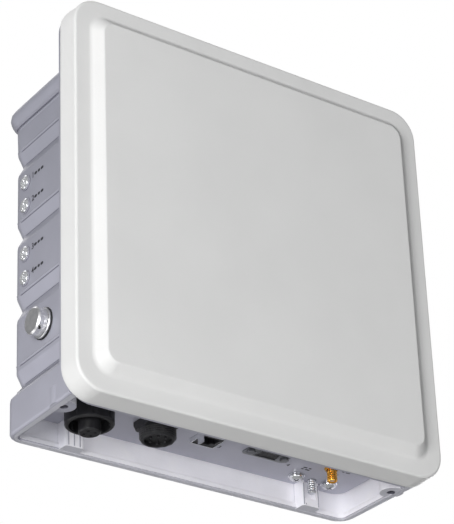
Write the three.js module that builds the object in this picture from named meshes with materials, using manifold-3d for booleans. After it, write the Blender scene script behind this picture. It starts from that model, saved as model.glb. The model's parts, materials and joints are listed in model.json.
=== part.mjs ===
// Outdoor wireless bridge: a die-cast housing with a plastic radome over a flat patch antenna,
// and a connector bay that opens downwards behind a skirt.
// All lengths are in millimetres. +X is to the right seen from the front, +Y leaves the back, +Z is up.
// The origin is the centre of the rear mounting face.

import * as THREE from 'three';
import { mergeVertices } from 'three/addons/utils/BufferGeometryUtils.js';
import Module from 'manifold-3d';

const wasm = await Module();
wasm.setup();

// ---------------------------------------------------------------- driving dimensions

const gap = 0.15;         // clearance between pieces that are assembled and stay put
const runningGap = 0.3;   // clearance round pieces that turn

// Depths are measured back from the joint between the radome and the housing's flange.
const mountDepth = 77;
const depth = (distance) => distance - mountDepth;

const radome = { width: 264, height: 262, corner: 21, wall: 15, shell: 3, edge: 3.5, draft: 0.4 };
const raisedPanel = { bevelStart: 10.5, bevelEnd: 18, rise: 5.4 };
const seam = 0.8;         // height of the gasket line between radome and flange

const flange = { thickness: 3.4, edge: 0.8, screwInset: 5.2 };
const body = {
  padHalf: 120.5,         // half width over the flat pads of the sides
  skirtHalf: 124.8,       // half width over the bottom skirt
  lipHalf: 126,           // half width over the rolled lip at the top
  draft: 1.2,             // how much wider the box is at the flange
  top: 93.3,
  bottom: -127.4,
  depth: 75,
  corner: 10,
  wall: 3.4,
};
const valley = { depth: 3.9, width: 17, pitch: 49.7, highest: 55, lowestWidth: 23 };
const rimRadius = 1.8;    // rounding of the skirt's lower edge
const rimBead = { inward: 2.4, height: 4.6 };
const beadRadius = 6.6;   // rounding of the lip
const cavity = { halfWidth: 113, top: 88, bottom: -104, backDepth: 58.5, channelDepth: 71.2 };
const finField = {
  halfWidth: 98, top: 80, bottom: -88, floorDepth: 62, pitch: 14, thickness: 2.6, corner: 6, setback: 0.8,
};
const mountPad = { size: 104, corner: 8, holeSpacing: 75, holeRadius: 3.3, holeDepth: 9 };

const bay = {
  roof: -108.5, panelThickness: 2, panelHalf: 119, panelFront: 6, panelBack: 70.5, panelCorner: 8,
};
const panelFace = bay.roof - bay.panelThickness;
const cornerBoss = {
  x: 118.3, depth: 19.5, radius: 7, bulge: 1.2, bulgeTop: -116, bottom: -127, hole: 2.5, holeDepth: 12,
};
const column = { left: [-90, -77], right: [83.5, 97], frontDepth: 62.5, bottom: -127, corner: 2 };
const stud = { x: 89.2, depth: 60.5, radius: 2.8, bottom: -119.2, grip: 2, notch: 4.2, notchBottom: -122 };

const sideLights = {
  depth: 58, heights: [37.5, 21.4, -11.6, -28], radius: 4.4, bezel: 0.7, holeRadius: 2.5,
};
const vent = {
  depth: 36.5, height: -67.8, flangeRadius: 9.3, sealEdge: 0.6, capRadius: 8.5, reach: 8.4, holeRadius: 5.2,
};

const powerPort = {
  x: -89.7, depth: 37.5, flangeSize: 25, stemRadius: 9.6, seatRadius: 12, seatHeight: 4.5,
  ringRadius: 14.6, ringBottom: -124.8, coreRadius: 6.6, coreReach: 4.9,
};
const dataPort = {
  x: -42.6, depth: 37, flangeSize: 22, flangeBottom: -115.5, barrelRadius: 10.7, stemRadius: 9,
  bottom: -123.4,
};
const ethernetPort = { x: -4, depth: 40.4, width: 16.4, height: 14, reach: 3, tab: 4.6 };
const serialPort = {
  x: 40.6, depth: 40.6, spacing: 25, reach: 1.6, cutoutWidth: 17.6, cutoutHeight: 9.2, jackscrewRadius: 1.5,
};
const antennaPort = { x: 87.7, depth: 38, radius: 3.2, bottom: -120 };
const groundScrews = { x: [75.6, 100.9], depth: 58, headRadius: 4.65, threadRadius: 2.4, top: -103.4 };

// ---------------------------------------------------------------- materials

const finish = (color, roughness, metalness = 0) => () =>
  new THREE.MeshStandardMaterial({ color, roughness, metalness });
const radomePlastic = finish(0xcfcfcd, 0.55);
const castPaint = finish(0x9fa0ad, 0.5, 0.2);
const blackPlastic = finish(0x232325, 0.45);
const rubber = finish(0x2b2b2d, 0.85);
const steel = finish(0xc9cbd0, 0.22, 1);
const darkSteel = finish(0x6d6f75, 0.35, 1);
const aluminium = finish(0xb5b8bd, 0.35, 0.9);
const gold = finish(0xd08a1e, 0.28, 1);
const circuitBoard = finish(0x1f5a3a, 0.5);
const clearPlastic = finish(0xdfe4ea, 0.12);
const whiteFoam = finish(0xe8e8e4, 0.9);
const insulator = finish(0xe4e0d4, 0.5);

// ---------------------------------------------------------------- geometry helpers

// A closed mesh becomes a solid for joining and cutting.
function solid(geometry) {
  const plain = geometry.clone();
  plain.deleteAttribute('normal');
  plain.deleteAttribute('uv');
  const merged = mergeVertices(plain, 1e-4);
  return new wasm.Manifold(new wasm.Mesh({
    numProp: 3,
    vertProperties: new Float32Array(merged.attributes.position.array),
    triVerts: new Uint32Array(merged.index.array),
  }));
}

// A solid becomes a geometry again, with flat shading normals.
function geometryOf(shape) {
  const data = shape.getMesh();
  const geometry = new THREE.BufferGeometry();
  geometry.setAttribute('position', new THREE.BufferAttribute(new Float32Array(data.vertProperties), 3));
  geometry.setIndex(new THREE.BufferAttribute(new Uint32Array(data.triVerts), 1));
  geometry.computeVertexNormals();
  return geometry;
}

const overlap = 1;        // how far joined solids reach into each other
const overrun = 1;        // how far a cutting tool passes through a face

const join = (...shapes) => shapes.reduce((whole, shape) => whole.add(shape));
const cut = (shape, ...tools) => tools.reduce((rest, tool) => rest.subtract(tool), shape);

// Plan frames: each sends a flat outline (u, v) and its extrusion w to a pair of axes.
const planeXZ = new THREE.Matrix4().makeBasis(
  new THREE.Vector3(1, 0, 0), new THREE.Vector3(0, 0, 1), new THREE.Vector3(0, -1, 0));
const planeXY = new THREE.Matrix4();

// A rounded rectangle about a centre, as an outline.
function roundedRect(width, height, radius, centreU = 0, centreV = 0) {
  const u = width / 2;
  const v = height / 2;
  const shape = new THREE.Shape();
  shape.absarc(centreU + u - radius, centreV + v - radius, radius, 0, Math.PI / 2);
  shape.absarc(centreU - u + radius, centreV + v - radius, radius, Math.PI / 2, Math.PI);
  shape.absarc(centreU - u + radius, centreV - v + radius, radius, Math.PI, Math.PI * 1.5);
  shape.absarc(centreU + u - radius, centreV - v + radius, radius, Math.PI * 1.5, Math.PI * 2);
  return shape;
}

// A prism of an outline. It runs between two depths, heights or widths, by the frame chosen.
function prism(outline, frame, from, to, curveSegments = 6) {
  const low = Math.min(from, to);
  const high = Math.max(from, to);
  const geometry = new THREE.ExtrudeGeometry(outline, {
    depth: high - low, bevelEnabled: false, curveSegments, steps: 1,
  });
  const start = frame === planeXZ ? -high : low;
  geometry.translate(0, 0, start);
  geometry.applyMatrix4(frame);
  return solid(geometry);
}

function block(x, y, z) {
  const geometry = new THREE.BoxGeometry(x[1] - x[0], y[1] - y[0], z[1] - z[0]);
  geometry.translate((x[0] + x[1]) / 2, (y[0] + y[1]) / 2, (z[0] + z[1]) / 2);
  return solid(geometry);
}

// A turned piece about Z, from a profile of [radius, height] points that starts and ends on the axis.
function turned(profile, segments = 20) {
  const points = profile.map(([radius, height]) => new THREE.Vector2(radius, height));
  const geometry = new THREE.LatheGeometry(points, segments);
  geometry.rotateX(Math.PI / 2);
  return solid(geometry);
}

function rod(radius, low, high, segments = 16) {
  return turned([[0, low], [radius, low], [radius, high], [0, high]], segments);
}

// A ring about Z with a round hole.
function ring(outer, inner, low, high, segments = 20) {
  return cut(rod(outer, low, high, segments), rod(inner, low - overrun, high + overrun, segments));
}

// Turned pieces are drawn about Z, then laid along Y (head to the back) or along -X (head to the left).
const alongY = (shape) => shape.rotate([-90, 0, 0]);
const alongLeft = (shape) => shape.rotate([0, -90, 0]);

// A hexagonal prism about Z, by its size across flats.
function hexagon(acrossFlats, low, high) {
  return rod(acrossFlats / Math.sqrt(3), low, high, 6);
}

// A lofted solid through rings of points. Every ring holds as many [x, y, z] points as the others.
function loft(rings) {
  const count = rings[0].length;
  const positions = rings.flat(2);
  const indices = [];
  for (let level = 0; level + 1 < rings.length; level += 1) {
    for (let i = 0; i < count; i += 1) {
      const a = level * count + i;
      const b = level * count + (i + 1) % count;
      indices.push(a, b, b + count, a, b + count, a + count);
    }
  }
  const last = (rings.length - 1) * count;
  for (let i = 1; i + 1 < count; i += 1) {
    indices.push(0, i + 1, i);
    indices.push(last, last + i, last + i + 1);
  }
  const geometry = new THREE.BufferGeometry();
  geometry.setAttribute('position', new THREE.Float32BufferAttribute(positions, 3));
  geometry.setIndex(indices);
  return solid(geometry);
}

// One ring of a rounded rectangle that faces the front, at a given inset from the radome's outline.
// Lofts of these rings run from the back towards the front.
function frontRing(inset, y, smallestCorner = 9) {
  const radius = Math.max(radome.corner - inset, smallestCorner);
  const u = radome.width / 2 - inset;
  const v = radome.height / 2 - inset;
  return roundedRect(2 * u, 2 * v, radius).getPoints(6).slice(0, -1).map((p) => [p.x, y, p.y]);
}

// Quarter of an ellipse from (0, 0) to (width, height), as [across, along] steps.
function quarterCurve(width, height, steps) {
  return Array.from({ length: steps + 1 }, (_, i) => {
    const angle = (Math.PI / 2) * (i / steps);
    return [width * (1 - Math.cos(angle)), height * Math.sin(angle)];
  });
}

// ---------------------------------------------------------------- assembly bookkeeping

const bridge = new THREE.Group();

function place(name, shape, material, position = [0, 0, 0]) {
  const mesh = new THREE.Mesh(geometryOf(shape), material());
  mesh.name = name;
  mesh.position.set(...position);
  bridge.add(mesh);
}

// ---------------------------------------------------------------- flange screw places

const screwX = radome.width / 2 - flange.screwInset;
const screwZ = radome.height / 2 - flange.screwInset;
const screwSpread = 95;
const flangeScrews = [
  { name: 'flange_screw_top_left', x: -screwSpread, z: screwZ },
  { name: 'flange_screw_top_middle', x: 0, z: screwZ },
  { name: 'flange_screw_top_right', x: screwSpread, z: screwZ },
  { name: 'flange_screw_side_left', x: -screwX, z: 7 },
  { name: 'flange_screw_side_right', x: screwX, z: 7 },
  { name: 'flange_screw_bottom_left', x: -screwSpread, z: -screwZ },
  { name: 'flange_screw_bottom_middle', x: 0, z: -screwZ },
  { name: 'flange_screw_bottom_right', x: screwSpread, z: -screwZ },
];
const flangeScrew = {
  shank: 1.6, head: 3.3, headHeight: 2.2, reach: 9, drive: 2.6, driveDepth: 1.3,
  bossRadius: 4.2, bossHeight: 9.5, pilotDepth: 7.5,
};

// ---------------------------------------------------------------- radome

function buildRadome() {
  const front = radome.wall;
  const panelFront = front + raisedPanel.rise;
  const { bevelStart, bevelEnd } = raisedPanel;
  const { shell } = radome;
  const fillet = 1.2;     // run of the small roundings at the foot and the head of the bevel
  const soften = 0.12;    // how far those roundings stand off the sharp corner
  const edge = quarterCurve(radome.edge, radome.edge, 3);
  const outer = [
    frontRing(0, depth(-seam)),
    ...edge.map(([inset, along]) => frontRing(radome.draft + inset, depth(-(front - radome.edge) - along))),
    frontRing(bevelStart - fillet, depth(-front)),
    frontRing(bevelStart, depth(-front - 3 * soften)),
    frontRing(bevelStart + fillet, depth(-front - 9 * soften)),
    frontRing(bevelEnd - fillet, depth(-panelFront + 6 * soften)),
    frontRing(bevelEnd, depth(-panelFront + soften)),
    frontRing(bevelEnd + fillet, depth(-panelFront)),
  ];
  const inner = [
    frontRing(shell, depth(1)),
    frontRing(shell, depth(-front + 1.5 * shell)),
    frontRing(1.5 * shell, depth(-front + shell)),
    frontRing(bevelStart + shell, depth(-front + shell)),
    frontRing(bevelEnd + shell, depth(-panelFront + shell)),
  ];
  const { shank, bossRadius, bossHeight, pilotDepth } = flangeScrew;
  const bosses = flangeScrews.map(({ x, z }) =>
    alongY(rod(bossRadius, 0, bossHeight, 12)).translate([x, depth(-seam - bossHeight), z]));
  const pilots = flangeScrews.map(({ x, z }) =>
    alongY(rod(shank + gap, 0, pilotDepth + overrun, 10)).translate([x, depth(-seam - pilotDepth), z]));
  const outside = loft(outer);
  const hollow = cut(outside, loft(inner));
  const trimmedBosses = join(...bosses).intersect(outside);
  return cut(join(hollow, trimmedBosses), ...pilots);
}

function buildRadomeGasket() {
  const inset = 0.7;
  const width = 2;
  const low = depth(-seam + gap);
  const high = depth(-gap);
  const outer = loft([frontRing(inset, high), frontRing(inset, low)]);
  const inner = loft([frontRing(inset + width, high + overrun), frontRing(inset + width, low - overrun)]);
  return cut(outer, inner);
}

// ---------------------------------------------------------------- housing

// A valley across its width: how far along, and what share of its full depth it has there.
// Both slopes are straight, with short roundings at the edges and at the bottom.
const valleySection = [[0, 0], [0.07, 0.06], [0.43, 0.92], [0.5, 1], [0.57, 0.92], [0.93, 0.06], [1, 0]];

// Half widths of the housing at each height, from the bottom rim to the top lip.
// The sides carry flat pads with shallow valleys between them, a bead at the top and a skirt below.
function housingProfile() {
  const profile = [];
  quarterCurve(rimRadius, rimRadius, 3).reverse()
    .forEach(([inset, along]) => profile.push([body.skirtHalf - inset, body.bottom + rimRadius - along]));
  const valleys = [3, 2, 1, 0].map((index) => valley.highest - index * valley.pitch);
  const floor = body.padHalf - valley.depth;
  valleys.forEach((centre, index) => {
    valleySection.forEach(([t, fall]) => {
      const meetsSkirt = index === 0 && t < 0.5;
      const outside = meetsSkirt ? body.skirtHalf : body.padHalf;
      const width = meetsSkirt ? valley.lowestWidth : valley.width;
      profile.push([outside - (outside - floor) * fall, centre + (t - 0.5) * width]);
    });
  });
  const beadSteps = 7;
  const beadStart = -0.42 * Math.PI;
  const beadTurn = 0.92 * Math.PI;
  for (let i = 0; i <= beadSteps; i += 1) {
    const angle = beadStart + (beadTurn * i) / beadSteps;
    profile.push([
      body.lipHalf - beadRadius * (1 - Math.cos(angle)),
      body.top - beadRadius * (1 - Math.sin(angle)),
    ]);
  }
  return profile;
}

// One level of the housing: flat at the flange, with round rear corners.
// The back is flat, and follows only the rounding of the top edge and of the bottom rim.
function housingRing([halfWidth, z]) {
  const lipRounding = z > body.top - beadRadius ? body.lipHalf - halfWidth : 0;
  const rimRounding = z < body.bottom + rimRadius ? body.skirtHalf - halfWidth : 0;
  const back = depth(body.depth - lipRounding - rimRounding);
  const radius = body.corner;
  const cornerSteps = 5;
  const front = depth(flange.thickness - overlap);
  const frontHalf = halfWidth + body.draft;
  const points = [[-frontHalf, front, z], [frontHalf, front, z]];
  const arc = (centreX, startAngle) => {
    for (let i = 0; i <= cornerSteps; i += 1) {
      const angle = startAngle + (Math.PI / 2) * (i / cornerSteps);
      points.push([centreX + radius * Math.cos(angle), back - radius + radius * Math.sin(angle), z]);
    }
  };
  arc(halfWidth - radius, 0);
  arc(-halfWidth + radius, Math.PI / 2);
  return points;
}

// The recess of the back is cut round upright cooling fins and round the mounting pad.
function finRecess() {
  const { halfWidth, top, bottom, floorDepth, pitch, thickness, corner, setback } = finField;
  const middle = (top + bottom) / 2;
  const recess = prism(roundedRect(2 * halfWidth, top - bottom, corner, 0, middle), planeXZ,
    depth(floorDepth), depth(body.depth + overrun), 4);
  const fins = [];
  const gapCount = Math.floor((2 * halfWidth) / pitch) - 1;
  for (let i = 0; i <= gapCount; i += 1) {
    const x = (i - gapCount / 2) * pitch;
    fins.push(block([x - thickness / 2, x + thickness / 2],
      [depth(floorDepth - overlap), depth(body.depth - setback)], [bottom - overrun, top + overrun]));
  }
  const pad = prism(roundedRect(mountPad.size, mountPad.size, mountPad.corner), planeXZ,
    depth(floorDepth - overlap), overrun, 4);
  return cut(recess, ...fins, pad);
}

// One storey of the room inside the skirt, in a wall of this thickness.
function bayStorey(wall, low, high) {
  const half = body.skirtHalf - wall;
  const back = depth(body.depth - wall);
  const front = depth(flange.thickness);
  const radius = body.corner - wall;
  const plan = new THREE.Shape();
  plan.moveTo(-half, front);
  plan.lineTo(half, front);
  plan.absarc(half - radius, back - radius, radius, 0, Math.PI / 2);
  plan.absarc(-half + radius, back - radius, radius, Math.PI / 2, Math.PI);
  return prism(plan, planeXY, low, high);
}

// The room inside the skirt, open downwards. A bead that points inwards stiffens its mouth.
function bayHollow() {
  const beadTop = body.bottom + rimBead.height;
  const beadWall = body.wall + rimBead.inward;
  return join(
    bayStorey(body.wall, beadTop, bay.roof),
    bayStorey(body.wall + rimBead.inward / 2, beadTop - rimBead.inward / 2, beadTop + overlap),
    bayStorey(beadWall, body.bottom - overrun, beadTop),
    bayStorey(body.wall + rimBead.inward / 2, body.bottom - overrun, body.bottom + rimBead.inward / 3),
  );
}

// A column on the skirt's back wall.
function bossColumn([left, right]) {
  const back = depth(body.depth - body.wall + overlap);
  const front = depth(column.frontDepth);
  const middle = (left + right) / 2;
  const plan = roundedRect(right - left, back - front, column.corner, middle, (back + front) / 2);
  return prism(plan, planeXY, column.bottom, bay.roof + overlap, 3);
}

// The ways through the panel and the bay's roof that the connectors and ground screws need.
function connectorHoles() {
  const below = panelFace - overrun;
  const above = cavity.bottom + overrun;
  const round = (x, at, radius) => rod(radius, below, above, 24).translate([x, depth(at), 0]);
  const slot = (port, width, height) => block(
    [port.x - width / 2, port.x + width / 2],
    [depth(port.depth) - height / 2, depth(port.depth) + height / 2], [below, above]);
  const jackscrewX = [-1, 1].map((side) => serialPort.x + (side * serialPort.spacing) / 2);
  return [
    round(powerPort.x, powerPort.depth, powerPort.stemRadius + 0.9),
    round(dataPort.x, dataPort.depth, dataPort.stemRadius + 0.5),
    slot(ethernetPort, ethernetPort.width + 2 * gap, ethernetPort.height + 2 * gap),
    slot(serialPort, serialPort.cutoutWidth, serialPort.cutoutHeight),
    ...jackscrewX.map((x) => round(x, serialPort.depth, serialPort.jackscrewRadius + runningGap)),
    round(antennaPort.x, antennaPort.depth, antennaPort.radius + 0.2),
    ...groundScrews.x.map((x) => round(x, groundScrews.depth, groundScrews.threadRadius + runningGap)),
  ];
}

// Two upright bosses in the front corners of the bay, each bulging a little through the side wall.
function buildCornerBosses() {
  const { x, radius, bulge, bulgeTop, bottom } = cornerBoss;
  return [-1, 1].map((side) => join(
    rod(radius, bottom, bay.roof + overlap),
    rod(radius + bulge / 2, bottom, bulgeTop).translate([(side * bulge) / 2, 0, 0]),
  ).translate([side * x, depth(cornerBoss.depth), 0]));
}

// The room for the electronics, with a deeper channel along each side of the fin field.
function buildCavities() {
  const { halfWidth, backDepth, channelDepth, top, bottom } = cavity;
  const middle = block([-halfWidth, halfWidth], [depth(-overrun), depth(backDepth)], [bottom, top]);
  const channelInner = finField.halfWidth + body.wall;
  const channels = [-1, 1].map((side) => {
    const edges = [side * channelInner, side * halfWidth].sort((a, b) => a - b);
    return block(edges, [depth(backDepth - overlap), depth(channelDepth)], [bottom, top]);
  });
  return [middle, ...channels];
}

function housingScrewHoles() {
  const outside = 130;    // beyond the widest part of the side
  const inside = 100;     // within the electronics room
  const { shank } = flangeScrew;
  const flangeHoles = flangeScrews.map(({ x, z }) =>
    alongY(rod(shank + gap, -overrun - flange.thickness, 30, 10)).translate([x, depth(0), z]));
  const { x, hole, holeDepth, bottom } = cornerBoss;
  const bossHoles = [-1, 1].map((side) => rod(hole, bottom - overrun, bottom + holeDepth, 16)
    .translate([side * x, depth(cornerBoss.depth), 0]));
  const lightHoles = sideLights.heights.map((z) =>
    alongLeft(rod(sideLights.holeRadius, inside, outside, 12)).translate([0, depth(sideLights.depth), z]));
  const ventHole = alongLeft(rod(vent.holeRadius, inside, outside, 16))
    .translate([0, depth(vent.depth), vent.height]);
  const half = mountPad.holeSpacing / 2;
  const corners = [[-half, -half], [half, -half], [half, half], [-half, half]];
  const mountHoles = corners.map(([u, v]) =>
    alongY(rod(mountPad.holeRadius, -mountPad.holeDepth, overrun, 16)).translate([u, 0, v]));
  return [...flangeHoles, ...bossHoles, ...lightHoles, ventHole, ...mountHoles];
}

// The right column takes the earth stud in a blind hole above a notch.
function studRoom() {
  const hole = rod(stud.radius + gap, panelFace - overrun, bay.roof + stud.grip)
    .translate([stud.x, depth(stud.depth), 0]);
  const notch = block([stud.x - stud.notch, stud.x + stud.notch],
    [depth(column.frontDepth - stud.notch), depth(column.frontDepth + stud.notch)],
    [stud.notchBottom, bay.roof - 0.5]);
  return [hole, notch];
}

function buildHousing() {
  const flangePlate = loft([
    frontRing(flange.edge, depth(flange.thickness)),
    frontRing(0, depth(flange.thickness - flange.edge)),
    frontRing(0, depth(0)),
  ]);
  const box = loft(housingProfile().map(housingRing));
  const pad = prism(roundedRect(mountPad.size, mountPad.size, mountPad.corner), planeXZ,
    depth(body.depth - overlap), 0, 4);
  const cornerBosses = buildCornerBosses();
  const columns = [column.left, column.right].map(bossColumn);
  const bayRoom = cut(bayHollow(), ...cornerBosses, ...columns);
  return cut(join(flangePlate, box, pad, ...cornerBosses, ...columns),
    bayRoom, finRecess(), ...buildCavities(), ...housingScrewHoles(), ...connectorHoles(), ...studRoom());
}

function buildConnectorPanel() {
  const width = 2 * bay.panelHalf;
  const front = depth(bay.panelFront);
  const back = depth(bay.panelBack);
  const plate = prism(roundedRect(width, back - front, bay.panelCorner, 0, (front + back) / 2), planeXY,
    panelFace, bay.roof - gap, 5);
  const margin = 0.4;
  const low = panelFace - overrun;
  const high = bay.roof + overrun;
  const columnRoom = [column.left, column.right].map(([left, right]) => block(
    [left - margin, right + margin], [depth(column.frontDepth - margin), back + overrun], [low, high]));
  const bossRoom = [-1, 1].map((side) => rod(cornerBoss.radius + margin, low, high)
    .translate([side * cornerBoss.x, depth(cornerBoss.depth), 0]));
  const studWay = rod(stud.radius + margin, low, high, 16).translate([stud.x, depth(stud.depth), 0]);
  return cut(plate, ...columnRoom, ...bossRoom, studWay, ...connectorHoles());
}

// ---------------------------------------------------------------- antenna

const antenna = { half: 113, reflector: 2, foam: 4, board: 1.6, patchCount: 4, patch: 28, patchPitch: 50 };

function antennaLayer(half, from, thickness) {
  return prism(roundedRect(2 * half, 2 * half, 10), planeXZ, depth(from), depth(from - thickness), 3);
}

function buildPatchBoard(from) {
  const board = antennaLayer(antenna.half - 3, from, antenna.board);
  const patches = [];
  const start = -(antenna.patchCount - 1) / 2;
  for (let row = 0; row < antenna.patchCount; row += 1) {
    for (let columnIndex = 0; columnIndex < antenna.patchCount; columnIndex += 1) {
      const x = (start + columnIndex) * antenna.patchPitch;
      const z = (start + row) * antenna.patchPitch;
      const front = depth(from - antenna.board - 0.3);
      patches.push(block([x - antenna.patch / 2, x + antenna.patch / 2], [front, front + 0.8],
        [z - antenna.patch / 2, z + antenna.patch / 2]));
    }
  }
  return join(board, ...patches);
}

// A round lead along a smooth path through its points.
function lead(points, radius) {
  const path = new THREE.CatmullRomCurve3(points.map((point) => new THREE.Vector3(...point)));
  const section = new THREE.Shape().absarc(0, 0, radius, 0, Math.PI * 2);
  const geometry = new THREE.ExtrudeGeometry(section, {
    extrudePath: path, steps: 14, curveSegments: 3, bevelEnabled: false,
  });
  return solid(geometry);
}

function addAntenna() {
  const reflectorBack = -0.3;
  const foamBack = reflectorBack - antenna.reflector - gap;
  const boardBack = foamBack - antenna.foam - gap;
  const feedHoles = [-1, 1].map((side) =>
    alongY(rod(2.2, -20, 20, 12)).translate([side * 25, depth(0), 25]));
  const reflector = antennaLayer(antenna.half, reflectorBack, antenna.reflector);
  place('antenna_reflector', cut(reflector, ...feedHoles), aluminium);
  place('antenna_foam_spacer', cut(antennaLayer(antenna.half - 3, foamBack, antenna.foam), ...feedHoles),
    whiteFoam);
  place('antenna_patch_board', buildPatchBoard(boardBack), circuitBoard);
  [['left', -1], ['right', 1]].forEach(([name, side]) => {
    place(`antenna_feed_lead_${name}`, lead([
      [side * 25, depth(boardBack + 0.3), 25], [side * 25, depth(12), 25],
      [side * 32, depth(24), 12], [side * 32, depth(36), 8], [side * 32, depth(40.5), 8],
    ], 1.2), blackPlastic);
  });
}

// ---------------------------------------------------------------- electronics

const board = { left: -98, right: 98, bottom: -80, top: 78, frontDepth: 48, thickness: 1.6, screwInset: 8 };

// A component on the front of the board.
function component(x, z, frontDepth) {
  return block(x, [depth(frontDepth), depth(board.frontDepth - gap)], z);
}

// A pressed metal can on the front of the board, open towards it.
function shieldCan(x, z, frontDepth) {
  const skin = 0.6;
  const inside = block([x[0] + skin, x[1] - skin], [depth(frontDepth) + skin, depth(board.frontDepth)],
    [z[0] + skin, z[1] - skin]);
  return cut(component(x, z, frontDepth), inside);
}

function addElectronics() {
  const backFace = board.frontDepth + board.thickness;
  const left = board.left + board.screwInset;
  const right = board.right - board.screwInset;
  const bottom = board.bottom + board.screwInset;
  const top = board.top - board.screwInset;
  const corners = [[left, bottom], [right, bottom], [right, top], [left, top]];
  const screwBores = corners.map(([x, z]) => alongY(rod(1.7, -20, 40, 12)).translate([x, depth(40), z]));
  place('main_board', cut(block([board.left, board.right],
    [depth(board.frontDepth), depth(backFace)], [board.bottom, board.top]), ...screwBores), circuitBoard);
  ['bottom_left', 'bottom_right', 'top_right', 'top_left'].forEach((corner, index) => {
    const [x, z] = corners[index];
    const standoff = join(
      alongY(hexagon(5.5, 0, cavity.backDepth - backFace - 2 * gap)),
      alongY(rod(1.5, -board.thickness - 3, 0.5, 12)));
    place(`board_standoff_${corner}`, standoff, steel, [x, depth(backFace + gap), z]);
  });
  place('rf_shield_can', shieldCan([-62, 62], [-12, 52], 41), aluminium);
  place('power_module', component([-70, -20], [-70, -28], 30), blackPlastic);
  place('network_transformer', component([-6, 14], [-72, -50], 38), blackPlastic);
  place('processor', block([20, 50], [depth(backFace + gap), depth(backFace + 2.6)], [-58, -28]),
    blackPlastic);
  place('thermal_pad', block([18, 52],
    [depth(backFace + 2.75), depth(cavity.backDepth - gap)], [-60, -26]), rubber);
  const lights = sideLights.heights;
  place('light_board', block([-110.4, -109.2], [depth(50), depth(69)],
    [lights[3] - 10, lights[0] + 10]), circuitBoard);
}

// ---------------------------------------------------------------- left side: lights and vent

// Half width of the drafted side pads at a given distance behind the flange plane.
function sideFace(distance) {
  const rear = body.depth - body.corner;
  return body.padHalf + (body.draft * (rear - distance)) / (rear - flange.thickness + 1);
}

function addSideLights() {
  const radius = sideLights.radius;
  const outside = sideFace(sideLights.depth - radius - sideLights.bezel);
  sideLights.heights.forEach((z, index) => {
    const domeHeight = 2;
    const base = outside + 0.5;
    const dome = quarterCurve(radius - 1.8, domeHeight - 0.4, 3)
      .map(([inset, along]) => [radius - inset, base + 0.4 + along]);
    const lens = turned([[0, 111.8], [2.2, 111.8], [2.2, outside - gap], [2.2, base], [radius, base],
      ...dome, [0, base + domeHeight]], 16);
    const bezel = ring(radius + sideLights.bezel, radius + gap, outside + gap, outside + sideLights.bezel);
    const position = [0, depth(sideLights.depth), z];
    place(`light_lens_${index + 1}`, alongLeft(lens), clearPlastic, position);
    place(`light_bezel_${index + 1}`, alongLeft(bezel), rubber, position);
  });
}

function addVent() {
  const outside = sideFace(vent.depth - vent.flangeRadius - vent.sealEdge);
  const sealTop = outside + 0.8;
  const bodyTop = sealTop + 1.3;
  const capTop = outside + vent.reach;
  const position = [0, depth(vent.depth), vent.height];
  const seal = ring(vent.flangeRadius + vent.sealEdge, vent.holeRadius + 0.2, outside + gap, sealTop);
  place('vent_seal', alongLeft(seal), rubber, position);
  const stem = turned([[0, 109], [5, 109], [5, sealTop + gap], [vent.flangeRadius, sealTop + gap],
    [vent.flangeRadius, bodyTop - 0.4], [vent.flangeRadius - 0.4, bodyTop], [4.4, bodyTop],
    [4.4, bodyTop + 1.8], [0, bodyTop + 1.8]], 24);
  const airway = rod(2, 105, bodyTop + 10, 12);
  place('vent_body', alongLeft(cut(stem, airway)), steel, position);
  const knurls = [];
  const knurlCount = 20;
  for (let i = 0; i < knurlCount; i += 1) {
    const angle = (2 * Math.PI * i) / knurlCount;
    knurls.push(rod(0.45, bodyTop, capTop - 1.4, 4)
      .translate([vent.capRadius * Math.cos(angle), vent.capRadius * Math.sin(angle), 0]));
  }
  const cap = turned([[0, bodyTop + 2.3], [4.8, bodyTop + 2.3], [4.8, bodyTop + runningGap],
    [vent.capRadius, bodyTop + runningGap], [vent.capRadius, capTop - 1], [vent.capRadius - 1, capTop],
    [0, capTop]], 24);
  const pinHole = rod(0.9, vent.capRadius - 1.5, vent.capRadius + overrun, 10)
    .rotate([0, 90, 0]).rotate([0, 0, 225]).translate([0, 0, capTop - 1.9]);
  place('vent_cap', alongLeft(cut(cap, pinHole, ...knurls)), steel, position);
}

// ---------------------------------------------------------------- connector bay

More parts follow.
